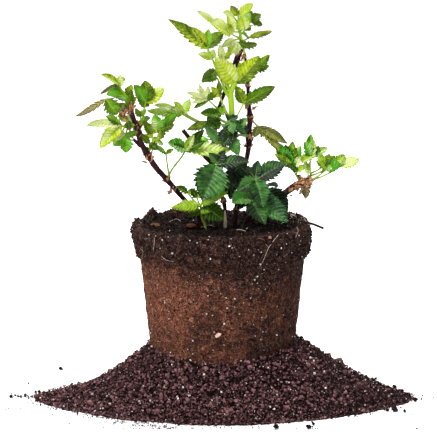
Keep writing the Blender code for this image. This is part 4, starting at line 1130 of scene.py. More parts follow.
@dataclass
class Foliage:
    """Every leafy spray of the bush."""

    blades: BladeMaker = field(default_factory=BladeMaker)
    thickness: float = 0.35
    petiole: float = 0.95
    shortest_stalk: float = 2.0
    hub_sink: float = 0.8
    bud_swell: float = 1.5
    stem_taper: float = 0.25
    stem_sides: int = 10
    stalk_sides: int = 7
    rib_points: int = 9
    rib_reach: float = 0.93
    rib_sink: float = 0.25
    full_rib_width: float = 12.0
    thinnest_rib: float = 0.12

    def stem(self, plan: SprayPlan) -> tuple[np.ndarray, np.ndarray]:
        """Returns the points and radii of a spray's stem, which starts as a swollen bud on its cane."""
        points = [seen(place) for place in plan.stem]
        if plan.host:
            points.insert(0, Canes.node_of(CANES[plan.host], plan.node))
        swell = self.bud_swell if plan.host else 1.0
        radii = [plan.radius * (swell if i == 0 else 1.0 - self.stem_taper * i / len(points))
                 for i in range(len(points))]
        return np.array(points), np.array(radii)

    def leaf(self, stem: np.ndarray, plan: Leaf, rng: np.random.Generator) -> tuple[list, list]:
        """Returns a leaf's blades and its stalk, each as a list of shapes."""
        hub = seen(plan.hub)
        start = point_along(stem, plan.along)
        stalks = []
        if np.linalg.norm(hub - start) < self.shortest_stalk:
            hub = start + unit(stem[-2] - start) * self.hub_sink
        else:
            run = hub - start
            sag = np.array((0.0, 0.0, -0.04)) * np.linalg.norm(run)
            route, radii = smooth_route(
                np.array([start, start + run * 0.35 + sag, start + run * 0.7 + sag, hub]),
                np.array([self.petiole * 1.25, self.petiole, self.petiole * 0.9, self.petiole]), 4)
            stalks.append(tube(route, radii, self.stalk_sides))
        sheets = []
        for each in plan.leaflets:
            tip = seen(each.tip)
            sheets.append(self.blades.blade(hub, tip, each, plan.faces, rng))
            rib = tip - hub
            up = np.array(plan.faces.value)
            up = unit(up - unit(rib) * np.dot(up, unit(rib)))
            t = np.linspace(0, self.rib_reach, self.rib_points)[:, None]
            arch = self.blades.arch * np.linalg.norm(rib) * 4 * t * (1 - t)
            route = hub + rib * t + up * (arch - self.rib_sink)
            taper = 1 - 0.8 * np.linspace(0, 1, self.rib_points)
            radius = self.petiole * 0.8 * taper * min(1.0, each.width / self.full_rib_width)
            stalks.append(tube(route, np.maximum(radius, self.thinnest_rib), 5))
        return sheets, stalks

    def build(self, name: str, plan: SprayPlan, seed: int) -> None:
        """Makes one spray, with its blades given their thickness, and lets it stand for its node."""
        rng = np.random.default_rng(seed)
        points, radii = self.stem(plan)
        route, sizes = smooth_route(points, radii, 5)
        sheets, stalks = [], [tube(route, sizes, self.stem_sides)]
        for each in plan.leaves + FILLERS.get(name, ()):
            found_sheets, found_stalks = self.leaf(points, each, rng)
            sheets.extend(found_sheets)
            stalks.extend(found_stalks)
        leaf_finish, under, stem_finish = (table[plan.tone] for table in
                                           (LEAF_FINISHES, UNDER_FINISHES, STEM_FINISHES))
        made = to_object(name, joined(sheets), [leaf_finish, under, stem_finish])
        merge_doubles(made)
        apply_modifier(made, "SOLIDIFY", thickness=self.thickness * MM, offset=-1.0, material_offset=1,
                       material_offset_rim=0)
        stems = to_object(f"{name}_stalks", joined([each.in_slot(0) for each in stalks]), [stem_finish])
        only(made)
        stems.select_set(True)
        bpy.ops.object.join()
        made.name = f"{name}_leaves"
        place_piece(made, plan.tone.value, name)

    def build_all(self) -> None:
        """Makes every spray in order."""
        for seed, (name, plan) in enumerate(SPRAYS.items()):
            self.build(name, plan, 100 + seed)


@dataclass
class Canes:
    """The woody canes with their bark, cut ends and tufts of bud scales.

    Each extra tuft has its cane, its place, how many scales it has, their length and its radius.
    """

    sides: int = 16
    steps: int = 10
    bark_relief: float = 0.07
    node_swell: float = 0.22
    node_reach: float = 3.2
    scale_length: Pair = (3.5, 7.5)
    scale_width: float = 3.6
    scales_a_node: int = 6
    bunches: int = 3
    bunch_spread: float = 0.06
    bunch_lean: float = 0.5
    plain_length: float = 6.0
    tufts: tuple[tuple[str, Place, int, float, float], ...] = (
        ("cane_low", (70, -5, 206), 7, 4.0, 3.0),
        ("cane_left", (-92, -26, 286), 18, 6.0, 3.8), ("cane_left", (-97, -30, 281), 15, 5.5, 3.2),
        ("cane_left", (-88, -20, 289), 12, 5.0, 2.8),
        ("cane_left", (-72, -14, 238), 6, 9.0, 2.4), ("cane_left", (-49, -8, 207), 5, 5.5, 2.4),
        ("cane_right", (28.5, -3, 290), 8, 8.0, 3.2), ("cane_right", (27.5, -3, 252), 7, 6.5, 3.0),
        ("cane_centre", (19, -5, 340), 6, 6.0, 3.0), ("cane_low", (76, -7, 212), 15, 5.0, 3.6),
        ("cane_low", (82, -8, 214), 18, 5.0, 4.0), ("cane_low", (87, -8, 212), 18, 5.0, 4.0),
        ("cane_low", (88, -9, 218), 12, 4.5, 3.4), ("cane_low", (80, -8, 219), 12, 4.5, 3.0),
        ("cane_low", (84, -9, 206), 12, 5.0, 3.2))

    @staticmethod
    def node_of(plan: CanePlan, up: float) -> np.ndarray:
        """Returns the point on a cane's axis at this height, as the front shows it."""
        for low, high in zip(plan.route, plan.route[1:]):
            if low[2] <= up <= high[2]:
                share = (up - low[2]) / (high[2] - low[2])
                return seen(low) + (seen(high) - seen(low)) * share
        return seen(plan.route[-1])

    def stick(self, plan: CanePlan, nodes: list[np.ndarray], seed: float) -> list[Shape]:
        """Makes one length of cane.

        Args:
            plan: Its route and radii.
            nodes: Where it bears side shoots, and so is swollen.
            seed: Shifts the pattern of its bark.

        Returns:
            The bark and the pale cut face at its tip.
        """
        points = np.array([seen(place) for place in plan.route])
        route, radii = smooth_route(points, np.array(plan.radii), self.steps)
        for node in nodes:
            away = np.linalg.norm(route - node, axis=1)
            radii = radii * (1 + self.node_swell * np.exp(-((away / self.node_reach) ** 2)))
        radii = radii * (1 + 0.05 * noise_at(route, 5.0, seed))
        bark = tube(route, radii, self.sides, 0.05)
        middle = np.repeat(route, self.sides, axis=0)
        skin = bark.points[:len(middle)]
        streaks = noise_at(skin * (1, 1, 0.25), 1.3, seed)
        bark.points[:len(middle)] += (skin - middle) * self.bark_relief * streaks[:, None] * 2
        tip_heading = unit(route[-1] - route[-2])
        face = tube(np.array([route[-1] - tip_heading * 0.2, route[-1] + tip_heading * 0.22]),
                    np.array([radii[-1], radii[-1]]) * 0.72, self.sides, 0.1)
        return [bark.in_slot(0), face.in_slot(1)]

    def scale_master(self) -> Shape:
        """Models one dried bud scale: a pointed sheet, cupped, about 1 mm long."""
        bpy.ops.object.select_all(action="DESELECT")
        bpy.ops.mesh.primitive_grid_add(x_subdivisions=2, y_subdivisions=4, size=MM)
        scale = bpy.context.object
        for corner in scale.data.vertices:
            t = corner.co.y / MM + 0.5
            s = corner.co.x / MM * 2
            half = 0.5 * max(math.sin(math.pi * (0.12 + 0.86 * t)), 0.04)
            corner.co = (s * half * MM, t * MM, (0.28 * t * t + 0.22 * abs(s) * half) * MM)
        apply_modifier(scale, "SOLIDIFY", thickness=0.05 * MM, offset=0.0)
        return shape_of(scale)

    def scales(self, master: Shape, node: np.ndarray, heading: np.ndarray, radius: float, count: int,
               rng: np.random.Generator, size: float = 1.0) -> list[Shape]:
        """Returns a tuft of bud scales that stand round a cane at a node and lean outwards."""
        tuft = []
        across = unit(np.cross(heading, (0.2, 0.9, 0.3)))
        other = np.cross(heading, across)
        for i in range(count):
            turn = TURN * (i + rng.uniform(-0.3, 0.3)) / count
            out = across * math.cos(turn) + other * math.sin(turn)
            long_way = unit(heading + out * rng.uniform(-0.1, 0.7))
            wide = unit(np.cross(long_way, out))
            normal = np.cross(wide, long_way)
            length = rng.uniform(*self.scale_length) * size
            width = self.scale_width * rng.uniform(0.7, 1.2) * size ** 0.5
            foot = node + out * radius * 0.8 - heading * rng.uniform(0.5, 3.0)
            corners = (foot + np.outer(master.points[:, 0] * width, wide)
                       + np.outer(master.points[:, 1] * length, long_way)
                       + np.outer(master.points[:, 2] * length * 0.8, normal))
            tuft.append(Shape(corners, list(master.faces)))
        return tuft

    def build_all(self) -> None:
        """Makes each cane and the scales at its nodes."""
        master = self.scale_master()
        for order, (name, plan) in enumerate(CANES.items()):
            rng = np.random.default_rng(40 + order)
            heights = [spray.node for spray in SPRAYS.values() if spray.host == name]
            nodes = [self.node_of(plan, height) for height in heights]
            parts = self.stick(plan, nodes, 3.7 * order)
            for stub in plan.stubs:
                parts.extend(self.stick(stub, [], 1.9 + order))
            make_piece(f"{name}_bark", joined(parts), [BARK, PITH], "cane", name)
            tufts = []
            route = np.array([seen(place) for place in plan.route])
            for node in nodes:
                nearest = int(np.argmin(np.linalg.norm(route - node, axis=1)))
                nearest = min(max(nearest, 1), len(route) - 1)
                heading = unit(route[nearest] - route[nearest - 1])
                tufts.extend(self.scales(master, node, heading, plan.radii[nearest],
                                         self.scales_a_node, rng))
            for host, centre, count, length, spread in self.tufts:
                if host == name:
                    middle = seen(centre)
                    nearest = int(np.argmin(np.linalg.norm(route - middle, axis=1)))
                    heading = unit(route[min(nearest + 1, len(route) - 1)] - route[max(nearest - 1, 0)])
                    for _ in range(self.bunches):
                        nudged = middle + rng.normal(0, self.bunch_spread * count, 3)
                        leaning = unit(heading + rng.normal(0, self.bunch_lean, 3))
                        tufts.extend(self.scales(master, nudged, leaning, spread,
                                                 max(count // self.bunches, 2), rng,
                                                 length / self.plain_length))
            make_piece(f"{name}_bud_scales", joined(tufts), [SCALE], "cane")


@dataclass
class RootBall:
    """The pot-shaped ball of soil and matted roots, with a loose crumbly top.

    Each mound on the top has its place across and back, its width and its height.
    """

    bottom: float = 8.0
    top: float = 174.0
    collar_radius: float = 90.5
    collar_height: float = 26.0
    body_top_radius: float = 82.5
    body_foot_radius: float = 67.0
    sides: int = 350
    step: float = 1.25
    hidden_step: float = 7.0
    hidden_below: float = 44.0
    relief_grain: float = 9.0
    # Height of the lumps and of the crumbs on the top, the collar and the body.
    reliefs: Triple = (2.2, 1.6, 0.63)
    roughs: Triple = (2.3, 2.2, 1.3)
    crumb_grain: float = 3.4
    grit_grain: float = 1.5
    felt_grain: float = 5.5
    rim_rise: float = 1.2
    tuck: float = 4.0
    lean: float = 1.4
    outline_length: float = 330.0
    root_radius: float = 84.0
    root_step: float = 2.6
    root_count: int = 1300
    pale_count: int = 70
    perlite_count: int = 330
    crumb_count: int = 6400
    # The top ends at this share of the outline, and its crumbs get painted shade, darker within this radius,
    # for the leaves' shadow.
    top_share: float = 0.372
    inside_radius: float = 80.0
    top_crumb_shade: float = 0.7
    mounds: tuple[tuple[float, float, float, float], ...] = (
        (-69.0, 44.0, 8.0, 8.0), (-50.0, 62.0, 8.0, 4.5), (-36.0, 68.0, 10.0, 4.0), (-84.0, 14.0, 6.0, 4.0),
        (80.0, 30.0, 11.0, 5.0), (70.0, 46.0, 8.0, 3.0), (60.0, 55.0, 8.0, 2.0))

    def profile(self) -> np.ndarray:
        """Returns the outline's points, from the middle of the top down to the middle of the foot."""
        foot = self.top - self.collar_height
        taper = (self.body_top_radius - self.body_foot_radius) / (foot - self.bottom)
        body = [(self.body_top_radius - taper * (foot - z), z) for z in (142, 110, 78, 46, 14)]
        top = [(r, self.top + rise) for r, rise in ((0, -2), (26, -1.5), (50, -1), (70, 0.5), (83, 1.5))]
        collar = [(self.collar_radius - cut, z)
                  for cut, z in ((1, self.top - 1), (0, self.top - 6), (1, self.top - 16),
                                 (2.5, foot + 2), (5.5, foot - 2))]
        base = [(self.body_foot_radius - 2, self.bottom), (0, self.bottom)]
        return np.array([*top, *collar, *body, *base], float)

    def rows(self) -> np.ndarray:
        """Returns the outline cut into short steps, longer where the heap hides it."""
        corners = self.profile()
        rows = []
        for start, end in zip(corners, corners[1:]):
            step = self.hidden_step if end[1] < self.hidden_below else self.step
            count = max(int(np.linalg.norm(end - start) / step), 1)
            rows.extend(start + (end - start) * i / count for i in range(count))
        return np.array([*rows, corners[-1]])

    def is_top(self, radius: np.ndarray, height: np.ndarray) -> np.ndarray:
        """Tells of each point of the smooth ball whether it lies on the top."""
        return (height > self.top - 4) & (radius < self.body_top_radius + 1)

    def surface(self, radius: np.ndarray, height: np.ndarray, angle: np.ndarray) -> np.ndarray:
        """Raises the lumps, crumbs and pits of the ball's surface.

        Args:
            radius: Distance from the axis, for each point of the smooth ball.
            height: Height of each point.
            angle: Direction of each point from the axis.

        Returns:
            The points of the rough surface.
        """
        around = np.stack((np.cos(angle), np.sin(angle), np.zeros_like(angle)), axis=1)
        plain = around * radius[:, None]
        plain[:, 2] = height
        on_top = self.is_top(radius, height)
        in_collar = height > self.top - self.collar_height
        reach, rough = (np.where(on_top, top, np.where(in_collar, collar, body))
                        for top, collar, body in (self.reliefs, self.roughs))
        lump = np.array([noise.noise(Vector(p)) for p in
                         (around + np.outer(height / self.collar_radius, (0, 0, 1))) * self.relief_grain])
        crumbs = cells_at(plain, self.crumb_grain) - 0.45
        grit = noise_at(plain, self.grit_grain)
        felt = noise_at(plain, self.felt_grain, 7.0)
        rise = reach * lump + rough * crumbs + 0.45 * grit + 0.5 * felt
        rise = rise * (height > self.bottom + 1)
        crown = self.rim_rise * np.exp(-((radius - 85) / 4) ** 2)
        for x, y, wide, tall in self.mounds:
            away = (plain[:, 0] - x) ** 2 + (plain[:, 1] - y) ** 2
            crown += tall * np.exp(-away / wide ** 2)
        rise_up = np.where(on_top, rise + crown, 0.0)
        rise_out = np.where(on_top, 0.0, rise)
        tuck = self.tuck * np.clip(-around[:, 0], 0, 1) * np.clip((172 - height) / 24, 0, 1)
        tuck = np.where(in_collar, tuck, 0.0)
        plain += around * (rise_out - tuck)[:, None]
        plain[:, 0] += self.lean * np.clip((150 - height) / 8, 0, 1)
        plain[:, 2] += rise_up + np.where(in_collar & ~on_top, crown * (height - 160) / 14, 0).clip(0)
        return plain

    def at(self, share: np.ndarray, angle: np.ndarray, proud: np.ndarray) -> tuple[np.ndarray, np.ndarray]:
        """Returns points on the rough surface at shares of the outline's length, and outward directions."""
        rows = self.rows()
        reached = np.concatenate(([0.0], np.cumsum(np.linalg.norm(np.diff(rows, axis=0), axis=1))))
        reached /= reached[-1]
        radius = np.interp(share, reached, rows[:, 0])
        height = np.interp(share, reached, rows[:, 1])
        points = self.surface(radius, height, angle)
        flat = self.is_top(radius, height)
        out = np.stack((np.cos(angle), np.sin(angle), np.zeros_like(angle)), axis=1)
        out[flat] = (0, 0, 1)
        return points + out * proud[:, None], out

    def body(self) -> Shape:
        """Returns the rough ball as one closed shape."""
        rows = self.rows()
        inner = rows[1:-1]
        angles = np.linspace(0, TURN, self.sides, endpoint=False)
        radius = np.repeat(inner[:, 0], self.sides)
        height = np.repeat(inner[:, 1], self.sides)
        points = self.surface(radius, height, np.tile(angles, len(inner)))
        count = len(inner)
        first, second = ring_corners(count, self.sides)
        quads = np.stack((first, first + self.sides, second + self.sides, second), axis=1)
        top, foot = len(points), len(points) + 1
        around = np.arange(self.sides)
        last = (count - 1) * self.sides
        caps = np.concatenate((
            np.stack((np.full(self.sides, top), around, (around + 1) % self.sides), axis=1),
            np.stack((np.full(self.sides, foot), last + (around + 1) % self.sides, last + around), axis=1)))
        ends = np.array([(0, 0, rows[0, 1]), (0, 0, rows[-1, 1])])
        return Shape(np.concatenate((points, ends)), [quads, caps])

    def wandering_root(self, start: float, angle: float, length: float, radius: float, proud: float,
                       rng: np.random.Generator) -> Shape:
        """Returns a fine root that wanders over the surface from a place on it."""
        steps = max(int(length / self.root_step), 3)
        heading = rng.uniform(0, TURN)
        curl = rng.normal(0, 0.25)
        shares, angles = [start], [angle]
        for _ in range(steps):
            heading += curl + rng.normal(0, 0.45)
            shares.append(shares[-1] + math.sin(heading) * self.root_step / self.outline_length)
            angles.append(angles[-1] + math.cos(heading) * self.root_step / self.root_radius)
        lift = np.full(len(shares), proud)
        lift[[0, -1]] = -0.4
        route, _ = self.at(np.array(shares), np.array(angles), lift)
        thin = np.linspace(1.0, 0.55, len(route)) * radius
        return tube(route, thin, 3, 0.0)

    def build_all(self) -> None:
        """Makes the ball, its roots, crumbs and perlite."""
        make_piece("root_ball_felted_soil", self.body(), [RootBallFinish()], "root_ball", "root_ball")
        rng = np.random.default_rng(7)
        roots = [self.wandering_root(rng.uniform(0.36, 0.82), rng.uniform(0, TURN),
                                     rng.uniform(8, 26), rng.uniform(0.12, 0.26), rng.uniform(0.1, 0.5), rng)
                 for _ in range(self.root_count)]
        make_piece("root_mat_tan", joined(roots), [ROOT_TAN], "root_ball")
        pale = [self.wandering_root(rng.uniform(0.27, 0.7), rng.uniform(0, TURN),
                                    rng.uniform(5, 16), rng.uniform(0.07, 0.12), rng.uniform(0.3, 0.7), rng)
                for _ in range(self.pale_count)]
        make_piece("root_hairs_pale", joined(pale), [ROOT_PALE], "root_ball")

        share = self.top_share * rng.random(self.crumb_count) ** 0.6
        places, _ = self.at(share, rng.uniform(0, TURN, self.crumb_count),
                            np.full(self.crumb_count, 0.5))
        sizes = 0.4 + 1.3 * rng.random(self.crumb_count) ** 4
        crumbs = scatter_all(crumb_masters(0, 0.4, 6, 11), places, sizes, rng, 0.4)
        # Painted shade: crumbs within the rim are made darker, for the shadow of the leaves.
        painted_top_shade = np.hypot(crumbs.points[:, 0], crumbs.points[:, 1]) < self.inside_radius
        crumbs.values["tone"] -= self.top_crumb_shade * painted_top_shade
        make_piece("root_ball_top_crumbs", crumbs, [RIM_CRUMB], "root_ball", smooth=False)

        share = rng.uniform(0.1, 0.82, self.perlite_count)
        places, _ = self.at(share, rng.uniform(0, TURN, self.perlite_count),
                            np.full(self.perlite_count, 0.25))
        sizes = 0.28 + 0.6 * rng.random(self.perlite_count) ** 3
        grains = scatter_all(crumb_masters(1, 0.3, 4, 31), places, sizes, rng)
        make_piece("root_ball_perlite", grains, [PERLITE], "root_ball")


@dataclass
class Litter:
    """Bark chips, root hairs, twigs and perlite that lie on the root ball where the front shows them.

    Grains and pebbles have their place in the photograph's pixels, across and down, and a radius in
    millimetres. The other pieces have theirs in millimetres from the axis and over the floor, and a
    chip also has its length, its width and its turn.
    """

    ball: RootBall
    twig_count: int = 90
    twig_radius: float = 80.0
    top_reach: float = 86.0
    front_guess: float = -70.0
    grain_share: float = 0.72
    peel: tuple[Place, ...] = ((4.0, -9.6, 166), (4.3, -9.4, 176), (3.8, -8.6, 187))
    peel_radii: Triple = (1.9, 1.8, 0.7)
    hairs: tuple[tuple[float, tuple[Pair, ...]], ...] = (
        (0.4, ((-64.8, 160.4), (-65.2, 153), (-66.3, 147))),
        (0.5, ((55.5, 163), (51, 157.5), (46.2, 150.5), (43, 143), (41, 138), (37.4, 131.5))),
        (0.35, ((46.2, 150.5), (44.5, 153), (41.5, 155.5))),
        (0.45, ((73.8, 171), (75.2, 166.5), (72.6, 160.7))),
        (0.3, ((-79, 150), (-76, 146), (-78, 139))), (0.3, ((-58, 142), (-52, 138), (-46, 137))))
    threads: tuple[tuple[float, tuple[Pair, ...]], ...] = (
        (0.55, ((15.5, 168), (20, 166.6), (24.4, 166))), (0.45, ((-35, 183.5), (-31, 184.2), (-26, 182.5))),
        (0.5, ((65, 179.5), (70, 182), (76, 180.5))), (0.45, ((67, 176), (73, 180.5), (74, 184))),
        (0.4, ((70, 181), (78, 178), (83, 181.5))), (0.5, ((73.8, 183), (74.5, 178), (72, 173.5))),
        (0.4, ((76, 174), (81, 177), (87, 176.5))), (0.4, ((84, 181), (88, 184.5), (90, 181), (88, 179))),
        (0.5, ((65, 180), (70, 182.5), (76, 181))), (0.45, ((70, 183), (76, 179.5), (82, 182))),
        (0.5, ((78, 183), (81, 178), (79, 173))), (0.45, ((66, 174), (70, 178), (69, 183))),
        (0.45, ((84, 182), (88, 179), (86, 174))), (0.4, ((72, 172), (78, 170), (83, 173))),
        (0.4, ((60, 173), (66, 175.5), (70, 173.5))), (0.35, ((-80, 178), (-76, 180.5), (-71, 178))),
        (0.4, ((-52, 176), (-45, 178), (-40, 176))), (0.4, ((-20, 170), (-12, 172), (-5, 170.5))))
    twigs: tuple[tuple[float, Place, Place], ...] = (
        (1.35, (102.5, -7, 169.3), (78, -6, 176.5)), (0.7, (30, -40, 166), (46, -30, 170)),
        (0.7, (-58, 10, 176), (-44, 2, 175)), (0.8, (40, 5, 173), (52, -12, 173)),
        (0.6, (62, 30, 178), (76, 38, 184)), (0.6, (-70, 38, 186), (-60, 44, 189)))
    chips: tuple[tuple[float, float, float, float, float], ...] = (
        (-66, 171.5, 5.6, 4.0, 0.1), (-30, 171, 4.6, 3.6, -0.3), (-46, 181, 2.6, 1.4, 0.4))
    grains: tuple[Triple, ...] = (
        (150.5, 234.8, 0.9), (163.6, 239.9, 0.9), (190.7, 240.2, 0.8), (197.7, 242.4, 0.9),
        (173.5, 252.9, 1.1), (210.8, 258.4, 1.3), (209.5, 236.4, 0.8), (208.5, 239.5, 0.8),
        (229, 246, 1.4), (232, 247.5, 1.0), (279.8, 247.8, 1.2), (285, 244, 0.8), (285.6, 233.5, 0.7),
        (297.4, 235.7, 0.9), (299, 240.8, 0.7), (239, 256, 0.8), (248, 249.4, 0.8), (260.4, 251.7, 0.7),
        (259.4, 263.8, 1.0), (256.5, 276, 1.4), (254, 279, 1.1), (265.8, 263.5, 0.7), (284.3, 262.2, 0.8),
        (300.6, 256.8, 0.7), (277.3, 269.2, 1.0), (207, 313, 1.0), (276, 306, 0.9),
        (166, 302, 1.1), (170, 311, 0.8), (226, 297, 0.9), (243, 302, 0.9), (239, 313, 0.8), (262, 331, 0.8),
        (263, 269, 0.9), (284.8, 274.3, 0.7), (273.4, 263, 0.8), (252.8, 254.7, 0.7), (257, 249.6, 0.8),
        (290, 252.7, 0.8), (277.6, 256.8, 0.7), (298, 244.4, 0.8), (234.3, 298, 0.8), (249.8, 297.6, 0.9),
        (234.3, 306.2, 0.8), (227, 307.3, 0.8), (291, 307.9, 0.7), (246.7, 320.7, 0.7), (208.5, 283.6, 0.7),
        (221, 274.3, 0.7), (234.3, 288.7, 0.7), (264.2, 288.7, 0.7), (212.7, 314.5, 0.9), (187, 303, 0.7),
        (252.8, 323.7, 0.6), (288.9, 325.8, 0.7), (171.5, 352, 0.9), (268, 283, 0.6), (259, 292, 0.6))
    pebbles: tuple[Triple, ...] = (
        (218.5, 333.5, 2.5), (214.5, 331, 1.1), (269, 237.5, 1.7))

    def on_front(self, across: float, up: float, proud: float) -> np.ndarray:
        """Returns the point on the ball's front that shows at this place, this far off its surface."""
        # The side alone, from its foot up, without the five points of the top and the two of the base.
        rows = self.ball.profile()[5:-2][::-1]
        back = self.front_guess
        for _ in range(6):
            height = (up - back * math.sin(VIEW_TILT)) / math.cos(VIEW_TILT)
            radius = float(np.interp(height, rows[:, 1], rows[:, 0]))
            back = -math.sqrt(max(radius ** 2 - across ** 2, 4.0))
        out = unit(np.array((across, back, 0.0)))
        return np.array((across, back, height)) + out * (proud + 0.8)

    def on_top(self, across: float, up: float, proud: float) -> np.ndarray:
        """Returns the point on the ball's top that shows at this place, this far above it."""
        height = self.ball.top
        back = 0.0
        for _ in range(5):
            back = (up - height * math.cos(VIEW_TILT)) / math.sin(VIEW_TILT)
            limit = math.sqrt(max(self.top_reach ** 2 - across ** 2, 1.0))
            back = min(max(back, -limit), limit)
            radius = np.array([math.hypot(across, back)])
            angle = np.array([math.atan2(back, across)])
            found = self.ball.surface(radius, np.array([self.ball.top]), angle)
            height = float(found[0, 2])
        return np.array((across, back, height + proud))

    def strands(self, plans: tuple, lay: Callable[[float, float, float], np.ndarray],
                fullness: float) -> list[Shape]:
        """Returns thin curved strands whose places are laid on the ball by the given method."""
        made = []
        for radius, places in plans:
            points = np.array([lay(across, up, 0.7) for across, up in places])
            route, radii = smooth_route(points, np.linspace(1.0, 0.6, len(points)) * radius, 5)
            made.append(tube(route, radii * fullness, 5, 0.2))
        return made

    def build_all(self) -> None:
        """Makes the litter, one piece a material."""
        rng = np.random.default_rng(77)
        pale = self.strands(self.hairs, self.on_front, 0.45) + self.strands(self.threads, self.on_top, 0.7)
        make_piece("root_ball_named_root_hairs", joined(pale), [ROOT_PALE], "root_ball")
        sticks = []
        for radius, start, end in self.twigs:
            ends = np.array([seen(start), seen(end)])
            middle = ends.mean(axis=0) + rng.normal(0, 0.5, 3)
            route, radii = smooth_route(np.array([ends[0], middle, ends[1]]),
                                        np.array((radius, radius * 0.95, radius * 0.7)), 5)
            sticks.append(tube(route, radii, 7, 0.3))
        for _ in range(self.twig_count):
            share, angle = rng.uniform(0.05, 0.33), rng.uniform(0, TURN)
            length, away = rng.uniform(3, 10), rng.uniform(0, math.pi)
            steps = np.linspace(-0.5, 0.5, 4) * length
            route, _ = self.ball.at(share + steps * math.cos(away) / self.ball.outline_length,
                                    angle + steps * math.sin(away) / self.twig_radius,
                                    np.full(4, 0.9) + rng.normal(0, 0.3, 4))
            sticks.append(tube(route, rng.uniform(0.2, 0.45) * np.array((0.6, 1, 1, 0.5)), 5, 0.2))
        make_piece("root_ball_twigs", joined(sticks), [TWIG], "root_ball")
        master = crumb_masters(2, 0.34, 1, 5)[0]
        chips = []
        for across, up, length, width, turn in self.chips:
            centre = self.on_top(across, up, 0.9)
            flat = master.points * (length, width, 0.8)
            spun = np.stack((flat[:, 0] * math.cos(turn) - flat[:, 1] * math.sin(turn),
                             flat[:, 0] * math.sin(turn) + flat[:, 1] * math.cos(turn),
                             flat[:, 2] + 0.35 * flat[:, 1]), axis=1)
            chips.append(Shape(spun + centre, list(master.faces)))
        make_piece("root_ball_bark_chips", joined(chips), [CHIP], "root_ball", smooth=False)
        places = np.array([self.on_front(x - AXIS_PIXEL, FLOOR_PIXEL - y, 0.2) for x, y, _ in self.grains])
        sizes = np.array([size * self.grain_share for _, _, size in self.grains])
        grains = scatter_all(crumb_masters(1, 0.4, 3, 41), places, sizes, rng, 0.45)
        make_piece("root_ball_named_perlite", grains, [PERLITE], "root_ball")
        places = np.array([self.on_front(x - AXIS_PIXEL, FLOOR_PIXEL - y, 0.1) for x, y, _ in self.pebbles])
        sizes = np.array([size for _, _, size in self.pebbles])
        pebbles = scatter_all(crumb_masters(1, 0.5, 3, 61), places, sizes, rng, 0.4)
        make_piece("root_ball_pebbles", pebbles, [PEBBLE], "root_ball", smooth=False)
        peel = np.array([seen(place) for place in self.peel])
        strip = tube(peel, np.array(self.peel_radii), 8, 0.3)
        make_piece("cane_centre_peeled_strip", strip, [PITH], "cane")


